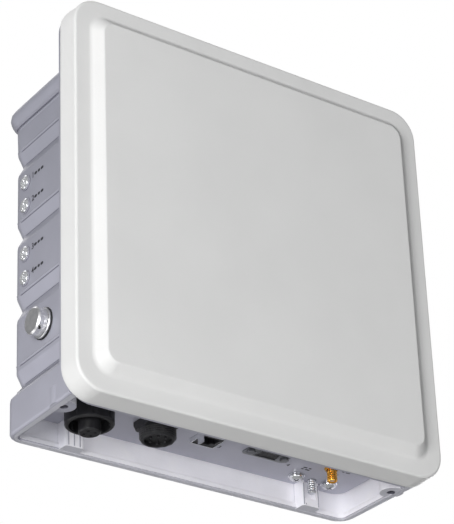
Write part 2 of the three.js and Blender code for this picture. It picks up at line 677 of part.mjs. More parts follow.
// The large power receptacle: a square flange, a turning bayonet ring and a core with four contacts.
function addPowerPort() {
  const seat = panelFace - gap;
  const position = [powerPort.x, depth(powerPort.depth), 0];
  const flangeTop = seat - 2.4;
  const size = powerPort.flangeSize;
  const { stemRadius, seatRadius, seatHeight, coreRadius, ringBottom } = powerPort;
  const plate = prism(roundedRect(size, size, 6), planeXY, flangeTop, seat, 4);
  const stem = rod(stemRadius, flangeTop, -100, 24);
  const ringSeat = rod(seatRadius, flangeTop - seatHeight, flangeTop + overlap, 24);
  const bore = rod(coreRadius + 0.2, flangeTop - seatHeight - overrun, flangeTop, 24);
  place('power_port_shell', cut(join(plate, stem, ringSeat), bore), blackPlastic, position);

  const ringTop = flangeTop - runningGap;
  const outer = powerPort.ringRadius;
  const inner = seatRadius + runningGap;
  const collar = cut(
    turned([[0, ringBottom], [outer - 0.8, ringBottom], [outer, ringBottom + 0.8], [outer, ringTop - 1],
      [outer - 1, ringTop], [0, ringTop]], 32),
    rod(inner, ringBottom - overrun, ringTop + overrun, 32));
  const gripCount = 8;
  const grips = [];
  const keys = [];
  for (let i = 0; i < gripCount; i += 1) {
    const angle = (2 * Math.PI * (i + 0.5)) / gripCount;
    const around = (shape, reach) => shape.translate([reach * Math.cos(angle), reach * Math.sin(angle), 0]);
    grips.push(around(rod(2.2, ringBottom + 1.6, ringTop + overrun, 10), outer + 1.4));
    keys.push(around(rod(0.9, ringBottom + 1, flangeTop - seatHeight - 2 * runningGap, 8), inner));
  }
  place('power_port_ring', cut(join(collar, ...keys), ...grips), blackPlastic, position);

  const coreBottom = ringBottom - powerPort.coreReach;
  const core = turned([[0, coreBottom], [coreRadius - 0.8, coreBottom], [coreRadius, coreBottom + 0.8],
    [coreRadius, flangeTop - gap], [0, flangeTop - gap]], 24);
  const contactCircle = 3.4;
  const contacts = [45, 135, 225, 315].map((degrees) => {
    const angle = THREE.MathUtils.degToRad(degrees);
    return rod(1.1, coreBottom - overrun, coreBottom + 5, 8)
      .translate([contactCircle * Math.cos(angle), contactCircle * Math.sin(angle), 0]);
  });
  place('power_port_core', cut(core, ...contacts), blackPlastic, position);
}

// The circular data receptacle: a thick tapered flange, a faceted barrel and a face with pins.
function addDataPort() {
  const seat = panelFace - gap;
  const position = [dataPort.x, depth(dataPort.depth), 0];
  const size = dataPort.flangeSize;
  const flangeTop = dataPort.flangeBottom;
  const corners = (width, radius, z) => roundedRect(width, width, radius).getPoints(4).slice(0, -1)
    .map((p) => [p.x, p.y, z]);
  const corner = 3;
  const plate = loft([
    corners(size - 1.6, corner, flangeTop),
    corners(size, corner, seat - 2),
    corners(size, corner, seat),
  ]);
  const barrel = turned([[0, dataPort.bottom], [dataPort.barrelRadius - 0.8, dataPort.bottom],
    [dataPort.barrelRadius, dataPort.bottom + 0.8], [dataPort.barrelRadius, seat - 1], [0, seat - 1]], 12);
  const stem = rod(dataPort.stemRadius, seat - 2, -100);
  const bore = rod(8.4, dataPort.bottom - 1, flangeTop - 1, 20);
  place('data_port_shell', cut(join(plate, barrel, stem), bore), blackPlastic, position);

  const faceTop = dataPort.bottom + 2.2;
  const face = rod(8.4 - gap, faceTop, flangeTop - 1 - gap);
  const pins = [];
  const pinCount = 6;
  for (let i = 0; i < pinCount; i += 1) {
    const angle = (2 * Math.PI * i) / pinCount;
    pins.push(rod(0.8, faceTop - 2, faceTop + overlap, 10)
      .translate([5 * Math.cos(angle), 5 * Math.sin(angle), 0]));
  }
  place('data_port_face', join(face, ...pins), blackPlastic, position);
}

// The shielded network jack: a metal shell that stands out of the panel round a plastic socket.
function addEthernetPort() {
  const { width, height, reach } = ethernetPort;
  const position = [ethernetPort.x, depth(ethernetPort.depth), 0];
  const bottom = panelFace - reach;
  const skin = 0.5;
  const half = width / 2;
  const deep = height / 2;
  const outside = block([-half, half], [-deep, deep], [bottom, -92]);
  const inside = block([-half + skin, half - skin], [-deep + skin, deep - skin], [bottom - 1, -92 - skin]);
  const tab = block([-half, -half + skin], [-deep, -deep + 6],
    [bottom - ethernetPort.tab, bottom + overlap]);
  place('ethernet_port_shell', join(cut(outside, inside), tab), steel, position);
  const socket = block([-half + skin + gap, half - skin - gap], [-deep + skin + gap, deep - skin - gap],
    [bottom + 0.5, -92 - skin - gap]);
  const opening = block([-5.4, 6.2], [-4.2, 2.2], [bottom - 1, bottom + 12]);
  const latchStep = block([-2.8, 3.6], [2, 4.6], [bottom - 1, bottom + 12]);
  place('ethernet_port_socket', cut(socket, opening, latchStep), blackPlastic, position);
}

// The nine-way serial port: a pressed steel shell, a plastic face and two hexagonal jackscrews.
function addSerialPort() {
  const position = [serialPort.x, depth(serialPort.depth), 0];
  const dee = (width, height, slope) => {
    const outline = new THREE.Shape();
    outline.moveTo(-width / 2 + slope, -height / 2);
    outline.lineTo(width / 2 - slope, -height / 2);
    outline.lineTo(width / 2, height / 2);
    outline.lineTo(-width / 2, height / 2);
    outline.closePath();
    return outline;
  };
  const seat = panelFace - gap;
  const plate = prism(roundedRect(30.8, 12.5, 2), planeXY, seat - 0.9, seat, 3);
  const { reach } = serialPort;
  const collar = prism(dee(16.3, 7.9, 1.3), planeXY, seat - reach, seat - 0.5);
  const hollow = prism(dee(15.5, 7.1, 1.2), planeXY, seat - 8, seat + 4);
  const holes = [-1, 1].map((side) => rod(serialPort.jackscrewRadius + runningGap, seat - 5, seat + 5, 16)
    .translate([(side * serialPort.spacing) / 2, 0, 0]));
  place('serial_port_shell', cut(join(plate, collar), hollow, ...holes), steel, position);

  const face = prism(dee(15.2, 6.8, 1.15), planeXY, seat - reach + 0.4, -100);
  const contacts = [];
  for (let i = 0; i < 9; i += 1) {
    const upper = i < 5;
    const x = upper ? (i - 2) * 2.75 : (i - 6.5) * 2.75;
    const y = upper ? 1.42 : -1.42;
    contacts.push(rod(0.5, seat - 8, seat - 1, 8).translate([x, y, 0]));
  }
  place('serial_port_face', cut(face, ...contacts), blackPlastic, position);

  [['left', -1], ['right', 1]].forEach(([name, side]) => {
    const head = hexagon(4.8, seat - reach - 0.8, seat - 0.9 - gap);
    const jackscrew = join(head, rod(serialPort.jackscrewRadius, seat - 2, -101, 10));
    const thread = rod(1.1, seat - 7, seat - 2.5, 8);
    place(`serial_jackscrew_${name}`, cut(jackscrew, thread), steel,
      [serialPort.x + (side * serialPort.spacing) / 2, depth(serialPort.depth), 0]);
  });
}

// The coaxial antenna port: a threaded gold barrel, its nut, and a white core with the centre contact.
function addAntennaPort() {
  const position = [antennaPort.x, depth(antennaPort.depth), 0];
  const seat = panelFace - gap;
  const { bottom, radius } = antennaPort;
  const profile = [[0, bottom], [radius - 0.5, bottom]];
  const threads = 5;
  const threadPitch = 1.4;
  for (let i = 0; i < threads; i += 1) {
    const z = bottom + 0.6 + i * threadPitch;
    profile.push([radius, z], [radius, z + 0.6], [radius - 0.45, z + 1]);
  }
  profile.push([radius, -102], [0, -102]);
  const barrel = cut(turned(profile, 16), rod(2.3, bottom - 1, bottom + 7, 12));
  place('antenna_port_barrel', barrel, gold, position);
  const nut = cut(hexagon(7.8, seat - 1.5, seat), rod(radius + gap, seat - 5, seat + 5, 20));
  place('antenna_port_nut', nut, gold, position);
  const contact = rod(0.6, bottom - overrun, bottom + 4, 10);
  const core = cut(rod(2.3 - gap, bottom + 1.2, bottom + 7 - gap, 16), contact);
  place('antenna_port_core', core, insulator, position);
}

// A ground screw: a round head with a cross recess on a captive washer.
function addGroundScrews() {
  const seat = panelFace - gap;
  ['left', 'right'].forEach((name, index) => {
    const position = [groundScrews.x[index], depth(groundScrews.depth), 0];
    const radius = groundScrews.headRadius;
    const washerLow = seat - 0.8;
    const washer = ring(radius + 0.7, groundScrews.threadRadius + runningGap, washerLow, seat);
    place(`ground_washer_${name}`, washer, steel, position);
    const headTop = washerLow - gap;
    const headHeight = 2.7;
    const dome = quarterCurve(radius - 1, headHeight - 0.8, 3).reverse()
      .map(([inset, along]) => [radius - inset, headTop - 0.8 - along]);
    const shank = groundScrews.threadRadius;
    const head = turned([[0, headTop - headHeight], ...dome, [radius, headTop], [shank, headTop],
      [shank, groundScrews.top], [0, groundScrews.top]]);
    const arm = 2.3;
    const slots = [
      block([-arm, arm], [-0.5, 0.5], [headTop - 6, headTop - 1.2]),
      block([-0.5, 0.5], [-arm, arm], [headTop - 6, headTop - 1.2]),
    ];
    place(`ground_screw_${name}`, cut(head, ...slots), steel, position);
  });
}

function addEarthStud() {
  const { bottom } = stud;
  const profile = [[0, bottom], [stud.radius - 0.7, bottom], [stud.radius, bottom + 0.7]];
  const threads = 5;
  const threadPitch = 1.5;
  for (let i = 0; i < threads; i += 1) {
    const z = bottom + 1.2 + i * threadPitch;
    profile.push([stud.radius, z], [stud.radius - 0.45, z + 0.5], [stud.radius, z + 1]);
  }
  profile.push([stud.radius, bay.roof + stud.grip - 0.5], [0, bay.roof + stud.grip - 0.5]);
  place('earth_stud', turned(profile, 16), steel, [stud.x, depth(stud.depth), 0]);
}

// ---------------------------------------------------------------- flange screws

function addFlangeScrews() {
  const { shank, head, headHeight, reach, drive, driveDepth } = flangeScrew;
  flangeScrews.forEach(({ name, x, z }) => {
    const shape = turned([[0, -reach], [shank, -reach], [shank, 0], [head, 0],
      [head, headHeight - 0.7], [head - 0.7, headHeight], [0, headHeight]], 16);
    const socket = hexagon(drive, headHeight - driveDepth, headHeight + overrun);
    place(name, alongY(cut(shape, socket)), darkSteel, [x, depth(flange.thickness + gap), z]);
  });
}

// ---------------------------------------------------------------- assembly

place('radome', buildRadome(), radomePlastic);
place('radome_gasket', buildRadomeGasket(), rubber);
place('rear_housing', buildHousing(), castPaint);
place('connector_panel', buildConnectorPanel(), castPaint);
addAntenna();
addElectronics();
addSideLights();
addVent();
addPowerPort();
addDataPort();
addEthernetPort();
addSerialPort();
addAntennaPort();
addGroundScrews();
addEarthStud();
addFlangeScrews();

export default bridge;
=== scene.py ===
import json
import math

import bmesh
import bpy
from mathutils import Matrix, Vector
from mathutils.bvhtree import BVHTree

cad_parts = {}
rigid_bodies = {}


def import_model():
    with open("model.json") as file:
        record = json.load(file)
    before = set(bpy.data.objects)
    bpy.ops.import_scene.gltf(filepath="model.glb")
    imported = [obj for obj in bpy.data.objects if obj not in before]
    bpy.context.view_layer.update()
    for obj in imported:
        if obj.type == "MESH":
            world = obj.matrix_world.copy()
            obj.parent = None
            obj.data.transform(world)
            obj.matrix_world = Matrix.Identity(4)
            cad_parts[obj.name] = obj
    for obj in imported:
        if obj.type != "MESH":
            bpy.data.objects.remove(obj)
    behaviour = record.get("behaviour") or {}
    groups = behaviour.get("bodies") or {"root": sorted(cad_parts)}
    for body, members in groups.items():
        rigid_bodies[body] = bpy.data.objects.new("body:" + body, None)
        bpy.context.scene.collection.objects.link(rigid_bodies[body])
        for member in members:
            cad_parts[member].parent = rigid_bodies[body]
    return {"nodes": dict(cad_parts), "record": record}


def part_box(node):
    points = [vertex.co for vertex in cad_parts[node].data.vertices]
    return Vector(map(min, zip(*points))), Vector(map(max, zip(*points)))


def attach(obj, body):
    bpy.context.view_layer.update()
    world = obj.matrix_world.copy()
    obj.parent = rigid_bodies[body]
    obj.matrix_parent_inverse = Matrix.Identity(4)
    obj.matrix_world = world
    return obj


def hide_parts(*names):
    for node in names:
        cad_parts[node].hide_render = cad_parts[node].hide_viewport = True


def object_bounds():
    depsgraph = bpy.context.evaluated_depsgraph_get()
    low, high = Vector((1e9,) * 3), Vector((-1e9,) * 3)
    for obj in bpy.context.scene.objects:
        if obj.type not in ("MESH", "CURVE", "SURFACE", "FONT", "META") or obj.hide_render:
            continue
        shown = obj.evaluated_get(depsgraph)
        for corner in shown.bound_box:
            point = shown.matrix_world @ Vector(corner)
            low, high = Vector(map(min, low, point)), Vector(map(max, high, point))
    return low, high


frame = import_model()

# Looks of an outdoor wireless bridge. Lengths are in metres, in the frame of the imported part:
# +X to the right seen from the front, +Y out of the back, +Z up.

MM = 0.001
NODES = frame["nodes"]
CAD_LOW, CAD_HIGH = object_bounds()
CENTRE = (CAD_LOW + CAD_HIGH) / 2

# ---------------------------------------------------------------- driving values

# The camera looks up at the object from its left and in front.
CAMERA = {"azimuth": -36.72, "elevation": -28.58, "roll": 2.295, "distance": 1.468, "lens": 163.71}
AIM_OFFSET = Vector((3.2, -4.4, 3.0)) * MM
FLOOR_DROP = 1.5         # how far the floor lies below the object, under the camera
FLOOR_RADIUS = 9.0
FLOOR_FADE = (0.2, 0.75)  # shares of the radius between which the floor fades into white
FLOOR_GLOW = 0.55         # share of plain white mixed into the floor

# Softboxes: direction from the object, level (radiance of a white surface facing it) and side length.
SOFTBOXES = {
    "key": {"towards": (-0.81, -0.53, -0.20), "level": 0.90, "side": 1.1},
    "front_fill": {"towards": (-0.06, -0.82, -0.56), "level": 0.22, "side": 1.6},
    "low_left": {"towards": (-0.62, 0.52, -0.58), "level": 0.12, "side": 1.0},
    "rear_fill": {"towards": (0.75, 0.62, 0.24), "level": 0.66, "side": 1.4},
    "top_fill": {"towards": (0.10, 0.62, 0.78), "level": 0.22, "side": 1.4},
}
SOFTBOX_DISTANCE = 2.4
AMBIENT = 0.225
AMBIENT_SHARES = (0.55, 1.55)         # of AMBIENT, away from the bright side and facing it
BRIGHT_SIDE = (-0.60, -0.45, -0.55)   # the even light is strongest from here


# ---------------------------------------------------------------- node graphs

class Graph:
    """Short calls for building a node tree."""

    def __init__(self, tree):
        self.tree = tree
        tree.nodes.clear()

    def node(self, kind, inputs=None, **settings):
        made = self.tree.nodes.new(kind)
        for setting, value in settings.items():
            setattr(made, setting, value)
        for key, value in (inputs or {}).items():
            if isinstance(value, bpy.types.NodeSocket):
                self.tree.links.new(value, made.inputs[key])
            else:
                made.inputs[key].default_value = value
        return made

    def math(self, operation, a, b=0.0):
        return self.node("ShaderNodeMath", {0: a, 1: b}, operation=operation).outputs[0]

    def vector(self, operation, a, b=(0.0, 0.0, 0.0)):
        return self.node("ShaderNodeVectorMath", {0: a, 1: b}, operation=operation)

    def spread(self, value, low, high, start=0.3, end=0.7):
        """value from start..end, spread over low..high."""
        inputs = {"Value": value, "From Min": start, "From Max": end, "To Min": low, "To Max": high}
        return self.node("ShaderNodeMapRange", inputs, clamp=True).outputs["Result"]

    def mix(self, factor, a, b):
        made = self.node("ShaderNodeMix", {0: factor, 6: a, 7: b}, data_type="RGBA")
        return made.outputs[2]

    def place(self, stretch=(1.0, 1.0, 1.0)):
        coordinates = self.node("ShaderNodeTexCoord").outputs["Object"]
        return self.vector("MULTIPLY", coordinates, stretch).outputs["Vector"]

    def noise(self, size, detail=2.0, stretch=(1.0, 1.0, 1.0)):
        """Noise whose features are about size metres across."""
        inputs = {"Vector": self.place(stretch), "Scale": 1.0 / size, "Detail": detail, "Roughness": 0.55}
        return self.node("ShaderNodeTexNoise", inputs).outputs["Fac"]

    def varied(self, colour, amount, size, detail=2.0):
        """A colour that drifts lighter and darker by amount."""
        dark = (*(channel * (1 - amount) for channel in colour), 1.0)
        light = (*(min(channel * (1 + amount), 1.0) for channel in colour), 1.0)
        return self.mix(self.spread(self.noise(size, detail), 0.0, 1.0), dark, light)

    def bump(self, height, depth, strength=1.0, normal=None):
        inputs = {"Height": height, "Distance": depth, "Strength": strength}
        if normal is not None:
            inputs["Normal"] = normal
        return self.node("ShaderNodeBump", inputs).outputs["Normal"]

    def by_slope(self, upwards, downwards):
        """Painted light and shade: a factor from upwards on faces looking up to downwards on faces looking
        down.
        """
        normal = self.node("ShaderNodeNewGeometry").outputs["Normal"]
        rise = self.node("ShaderNodeSeparateXYZ", {0: normal}).outputs["Z"]
        return self.spread(rise, downwards, upwards, -0.4, 0.4)

    def tint(self, colour, shade):
        made = self.node("ShaderNodeVectorMath", {0: colour, "Scale": shade}, operation="SCALE")
        return made.outputs["Vector"]

    def soft_edges(self, radius):
        return self.node("ShaderNodeBevel", {"Radius": radius}, samples=4).outputs["Normal"]

    def edge_mask(self, rounded, reach=0.12):
        """1 on the edges that soft_edges has rounded, 0 on flat surfaces."""
        sharp = self.node("ShaderNodeNewGeometry").outputs["Normal"]
        agreement = self.vector("DOT_PRODUCT", rounded, sharp).outputs["Value"]
        return self.spread(agreement, 1.0, 0.0, 1.0 - reach, 1.0 - 0.01)

    def finish(self, colour, roughness, normal, **more):
        inputs = {"Base Color": colour, "Roughness": roughness, "Normal": normal}
        inputs.update({key.replace("_", " "): value for key, value in more.items()})
        shader = self.node("ShaderNodeBsdfPrincipled", inputs)
        output = self.node("ShaderNodeOutputMaterial")
        self.tree.links.new(shader.outputs["BSDF"], output.inputs["Surface"])


def material(name):
    made = bpy.data.materials.new(name)
    made.use_nodes = True
    return made, Graph(made.node_tree)


# ---------------------------------------------------------------- materials

# The casting's coat is painted lighter towards the foot between these heights, as painted light from
# below.
PAINT_TOP = 60 * MM
PAINT_FOOT = -115 * MM


def radome_plastic():
    """Off-white moulded plastic with a fine pebble texture."""
    made, graph = material("radome_plastic")
    colour = graph.varied((0.765, 0.765, 0.758), 0.018, 60 * MM)
    speckle = graph.noise(0.9 * MM, 3.0)
    colour = graph.mix(graph.spread(speckle, 0.0, 0.10, 0.55, 0.75), colour, (0.62, 0.62, 0.61, 1.0))
    rounded = graph.soft_edges(0.5 * MM)
    fine_grain = graph.math("MULTIPLY", graph.noise(0.5 * MM), 0.5)
    pebbles = graph.math("ADD", graph.noise(1.3 * MM, 2.0), fine_grain)
    normal = graph.bump(pebbles, 0.10 * MM, 0.55, rounded)
    roughness = graph.spread(graph.noise(12 * MM), 0.46, 0.60)
    graph.finish(colour, roughness, normal, Specular_IOR_Level=0.42)
    return made


def cast_paint(name, colour, lit_foot_colour, worn, glow=0.0):
    """Satin powder coat over a die casting: orange peel, faint specks and lighter worn edges.

    The coat is painted lighter towards the foot, as painted light from below, and faces looking down
    get painted light while faces looking up get painted shade. A little glow stands for the
    light that bounces about inside the skirt."""
    made, graph = material(name)
    height = graph.node("ShaderNodeSeparateXYZ", {0: graph.place()}).outputs["Z"]
    # painted light: the coat turns lighter towards the foot
    painted_foot_light = graph.spread(height, 0.0, 1.0, PAINT_TOP, PAINT_FOOT)
    top = graph.varied(colour, 0.045, 30 * MM, 3.0)
    base = graph.mix(painted_foot_light, top, graph.varied(lit_foot_colour, 0.045, 30 * MM, 3.0))
    specks = graph.spread(graph.noise(0.45 * MM), 0.0, 0.22, 0.62, 0.75)
    base = graph.mix(specks, base, (*(channel * 0.55 for channel in colour), 1.0))
    # painted light and shade: faces looking down are made lighter, faces looking up darker
    base = graph.tint(base, graph.by_slope(0.84, 1.08))
    rounded = graph.soft_edges(0.5 * MM)
    patches = graph.spread(graph.noise(7 * MM, 4.0), 0.15, 0.75)
    wear = graph.math("MULTIPLY", graph.edge_mask(rounded), patches)
    base = graph.mix(wear, base, (*worn, 1.0))
    peel = graph.math("ADD", graph.noise(1.6 * MM, 2.0), graph.math("MULTIPLY", graph.noise(9 * MM), 1.2))
    normal = graph.bump(peel, 0.09 * MM, 0.5, rounded)
    roughness = graph.spread(graph.noise(15 * MM, 3.0), 0.36, 0.52)
    graph.finish(base, roughness, normal, Metallic=0.12, Specular_IOR_Level=0.5,
                 Emission_Color=base, Emission_Strength=glow)
    return made


def black_plastic():
    """Moulded black nylon with a fine spark-eroded grain and scuffed edges."""
    made, graph = material("black_plastic")
    colour = graph.varied((0.014, 0.014, 0.016), 0.30, 8 * MM)
    rounded = graph.soft_edges(0.25 * MM)
    scuffs = graph.spread(graph.noise(3 * MM, 3.0), 0.1, 0.6)
    wear = graph.math("MULTIPLY", graph.edge_mask(rounded), scuffs)
    colour = graph.mix(wear, colour, (0.085, 0.085, 0.09, 1.0))
    normal = graph.bump(graph.noise(0.35 * MM, 2.0), 0.05 * MM, 0.6, rounded)
    roughness = graph.spread(graph.noise(4 * MM, 3.0), 0.34, 0.5)
    graph.finish(colour, roughness, normal)
    return made


def rubber():
    """Matt black rubber with a dusty bloom."""
    made, graph = material("rubber")
    colour = graph.varied((0.022, 0.022, 0.024), 0.25, 5 * MM, 4.0)
    normal = graph.bump(graph.noise(0.3 * MM, 3.0), 0.06 * MM, 0.7)
    graph.finish(colour, graph.spread(graph.noise(3 * MM), 0.72, 0.9), normal)
    return made


def plated_metal(name, colour, smooth, rough, scratch=(1.0, 1.0, 1.0)):
    """Plated metal with fine scratches and a drifting polish."""
    made, graph = material(name)
    base = graph.varied(colour, 0.07, 3 * MM, 3.0)
    rounded = graph.soft_edges(0.15 * MM)
    scratches = graph.noise(0.5 * MM, 4.0, scratch)
    normal = graph.bump(scratches, 0.012 * MM, 0.5, rounded)
    roughness = graph.spread(graph.noise(1.5 * MM, 3.0, scratch), smooth, rough)
    graph.finish(base, roughness, normal, Metallic=1.0)
    return made


def clear_lens():
    """Clear moulded lens over a silvered light guide."""
    made, graph = material("clear_lens")
    colour = graph.varied((0.90, 0.91, 0.93), 0.05, 1.2 * MM)
    normal = graph.bump(graph.noise(1.1 * MM, 1.0), 0.03 * MM, 0.3)
    roughness = graph.spread(graph.noise(2 * MM), 0.05, 0.14)
    graph.finish(colour, roughness, normal, Metallic=0.75, Coat_Weight=0.7, Coat_Roughness=0.04)
    return made


def circuit_board():
    """Green solder mask with a faint weave."""
    made, graph = material("circuit_board")
    colour = graph.varied((0.035, 0.17, 0.08), 0.2, 4 * MM, 4.0)
    normal = graph.bump(graph.noise(0.8 * MM, 2.0), 0.03 * MM, 0.5)
    graph.finish(colour, graph.spread(graph.noise(2 * MM), 0.25, 0.4), normal)
    return made


def pale_solid(name, colour, grain):
    """Foam or fluoropolymer: pale and matt, with a fine cell grain."""
    made, graph = material(name)
    normal = graph.bump(graph.noise(grain, 3.0), 0.1 * MM, 0.5)
    roughness = graph.spread(graph.noise(3 * grain), 0.55, 0.8)
    graph.finish(graph.varied(colour, 0.05, 6 * grain), roughness, normal)
    return made


def printing_ink():
    """Dark screen-printed ink, slightly uneven."""
    made, graph = material("printing_ink")
    colour = graph.varied((0.030, 0.030, 0.036), 0.35, 0.6 * MM, 3.0)
    normal = graph.bump(graph.noise(0.4 * MM), 0.01 * MM, 0.4)
    graph.finish(colour, graph.spread(graph.noise(1 * MM), 0.5, 0.7), normal)
    return made


PAINT = (0.335, 0.337, 0.392)
# painted light: the lighter coat the casting is given at its foot
PAINT_LIT_AT_FOOT = (0.425, 0.425, 0.492)
# painted light: a paler coat for the inside of the skirt
INSIDE_LIT_PAINT = (0.84, 0.833, 0.875)
# painted light: a lighter coat for the rim inside the skirt
RIM_LIT_PAINT = (0.53, 0.53, 0.58)
# painted shade: a dimmer coat for the left corner inside the skirt
CORNER_SHADE_PAINT = (0.68, 0.68, 0.73)
# painted shade: a dark coat for creases and holes
GROOVE_SHADE_PAINT = (0.17, 0.17, 0.21)
FINISHES = {
    "radome_plastic": radome_plastic(),
    "cast_paint": cast_paint("cast_paint", PAINT, PAINT_LIT_AT_FOOT, (0.60, 0.60, 0.67)),
    # painted light: the inside of the skirt gets a paler coat and a glow
    "pale_paint": cast_paint("pale_paint", INSIDE_LIT_PAINT, INSIDE_LIT_PAINT, (0.90, 0.90, 0.93), 0.19),
    # painted light: the rim and faces looking down inside the skirt get a lighter coat and a glow
    "rim_paint": cast_paint("rim_paint", RIM_LIT_PAINT, RIM_LIT_PAINT, (0.78, 0.78, 0.82), 0.07),
    # painted shade: the left corner inside the skirt, shaded by the left wall, gets a dimmer coat
    "corner_paint": cast_paint("corner_paint", CORNER_SHADE_PAINT, CORNER_SHADE_PAINT, (0.80, 0.80, 0.84), 0.12),
    # painted shade: a dark coat for creases and holes
    "groove_paint": cast_paint("groove_paint", GROOVE_SHADE_PAINT, GROOVE_SHADE_PAINT, GROOVE_SHADE_PAINT),
    "black_plastic": black_plastic(),
    "rubber": rubber(),
    "steel": plated_metal("steel", (0.78, 0.79, 0.81), 0.12, 0.26),
    "satin_steel": plated_metal("satin_steel", (0.93, 0.93, 0.94), 0.34, 0.48),
    "dark_steel": plated_metal("dark_steel", (0.27, 0.275, 0.29), 0.30, 0.45),
    "aluminium": plated_metal("aluminium", (0.70, 0.71, 0.73), 0.28, 0.42, (1.0, 1.0, 0.05)),
    "gold": plated_metal("gold", (0.95, 0.50, 0.09), 0.16, 0.30),
    "circuit_board": circuit_board(),
    "clear_plastic": clear_lens(),
    "foam": pale_solid("foam", (0.80, 0.80, 0.78), 0.8 * MM),
    "insulator": pale_solid("insulator", (0.82, 0.80, 0.74), 0.4 * MM),
    "printing_ink": printing_ink(),
}
SLOT_OF = {entry["node"]: entry["material_slot"] for entry in frame["record"]["subparts"]}
LIGHT_NUMBERS = range(1, 5)
# Nodes whose finish is duller than the one their slot stands for.
DULLER = {
    "vent_cap": "satin_steel",
    "vent_body": "satin_steel",
    "serial_port_shell": "dark_steel",
    "serial_jackscrew_left": "dark_steel",
    "serial_jackscrew_right": "dark_steel",
    **{f"light_bezel_{number}": "cast_paint" for number in LIGHT_NUMBERS},
}


# ---------------------------------------------------------------- mesh helpers

WELD_DISTANCE = 0.002 * MM
FLAT_SEAM = 0.4            # degrees: seams flatter than this are dissolved
CRISP_EDGE = 42.0          # degrees: edges of CAD nodes sharper than this stay crisp
RAY_REACH = 40 * MM


def new_piece(name, mesh, body, finish):
    """A new object of this mesh, in the row frame, riding on a body."""
    piece = bpy.data.objects.new(name, mesh)
    bpy.context.scene.collection.objects.link(piece)
    mesh.materials.clear()
    mesh.materials.append(FINISHES[finish])
    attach(piece, body)
    return piece


def mesh_from(bm, name):
    mesh = bpy.data.meshes.new(name)
    bm.to_mesh(mesh)
    bm.free()
    return mesh


def merged(meshes, name):
    """Several meshes as one."""
    bm = bmesh.new()
    for mesh in meshes:
        bm.from_mesh(mesh)
    return mesh_from(bm, name)


def smooth_by_angle(bm, degrees):
    """Smooth shading, with the edges sharper than this kept crisp."""
    limit = math.radians(degrees)
    for face in bm.faces:
        face.smooth = True
    for edge in bm.edges:
        edge.smooth = len(edge.link_faces) == 2 and edge.calc_face_angle(0.0) < limit


def weigh_normals(piece):
    """Flat faces keep their own normals where they meet rounded ones."""
    modifier = piece.modifiers.new("weighted_normals", "WEIGHTED_NORMAL")
    modifier.keep_sharp = True
    modifier.weight = 80


def body_of(node):
    return NODES[node].parent.name.replace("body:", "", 1)


def refined(node):
    """A CAD node's surface welded, cleaned of flat seams and smoothed over its rounded stretches."""
    bm = bmesh.new()
    bm.from_mesh(NODES[node].data)
    bmesh.ops.remove_doubles(bm, verts=bm.verts, dist=WELD_DISTANCE)
    bmesh.ops.dissolve_limit(bm, angle_limit=math.radians(FLAT_SEAM), verts=bm.verts, edges=bm.edges)
    smooth_by_angle(bm, CRISP_EDGE)
    mesh = mesh_from(bm, f"{node}_surface")
    for attribute in ("custom_normal", "sharp_face"):
        if attribute in mesh.attributes:
            mesh.attributes.remove(mesh.attributes[attribute])
    finish = DULLER.get(node, SLOT_OF[node])
    piece = new_piece(f"{node}_surface", mesh, body_of(node), finish)
    weigh_normals(piece)
    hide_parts(node)
    return piece


def rounded_rectangle(half_width, half_height, radius, corner_steps=10, side_steps=8):
    """Points of a rounded rectangle, counter-clockwise seen from the front, as (x, z)."""
    points = []
    centres = ((1, 1), (-1, 1), (-1, -1), (1, -1))
    for quarter, (side_x, side_z) in enumerate(centres):
        centre_x = side_x * (half_width - radius)
        centre_z = side_z * (half_height - radius)
        arc = []
        for step in range(corner_steps + 1):
            angle = math.pi / 2 * (quarter + step / corner_steps)
            arc.append((centre_x + radius * math.cos(angle), centre_z + radius * math.sin(angle)))
        if points:
            points += between(points[-1], arc[0], side_steps)
        points += arc
    points += between(points[-1], points[0], side_steps)
    return points


def between(start, end, steps):
    """Points that part a straight side, without its ends."""
    return [
        (start[0] + (end[0] - start[0]) * step / steps, start[1] + (end[1] - start[1]) * step / steps)
        for step in range(1, steps)
    ]


def fillet(before, corner, after, run, steps=6):
    """Points of a smooth bend that replaces a corner, starting and ending run away from it."""
    before, corner, after = Vector(before), Vector(corner), Vector(after)
    start = corner + (before - corner).normalized() * run
    end = corner + (after - corner).normalized() * run
    points = []
    for step in range(steps + 1):
        t = step / steps
        points.append(tuple(start * (1 - t) ** 2 + corner * 2 * t * (1 - t) + end * t ** 2))
    return points


def loft(rings, joined=False):
    """A closed skin through rings of points: capped at both ends, or joined from last ring to first."""
    bm = bmesh.new()
    rows = [[bm.verts.new(point) for point in ring] for ring in rings]
    if joined:
        rows.append(rows[0])
    count = len(rows[0])
    for lower, upper in zip(rows, rows[1:]):
        for index in range(count):
            following = (index + 1) % count
            bm.faces.new((lower[index], lower[following], upper[following], upper[index]))
    if not joined:
        bm.faces.new(list(reversed(rows[0])))
        bm.faces.new(rows[-1])
    bmesh.ops.recalc_face_normals(bm, faces=bm.faces)
    return bm


def curve_to_mesh(curve):
    """A path or a text as a plain mesh."""
    source = bpy.data.objects.new(curve.name, curve)
    bpy.context.scene.collection.objects.link(source)
    bpy.context.view_layer.update()
    mesh = bpy.data.meshes.new_from_object(source.evaluated_get(bpy.context.evaluated_depsgraph_get()))
    bpy.data.objects.remove(source)
    return mesh


def surface_tree(node):
    """A lookup of the points on a CAD node's surface."""
    bm = bmesh.new()
    bm.from_mesh(NODES[node].data)
    tree = BVHTree.FromBMesh(bm)
    bm.free()
    return tree


def drop_onto(tree, point, direction, lift):
    """The place where a point lands on a surface when it moves along direction, lifted off by lift."""
    direction = Vector(direction)
    start = Vector(point) - direction * RAY_REACH
    hit, _, _, _ = tree.ray_cast(start, direction, 2 * RAY_REACH)
    landed = hit if hit is not None else Vector(point)
    return landed - direction * lift


# ---------------------------------------------------------------- radome

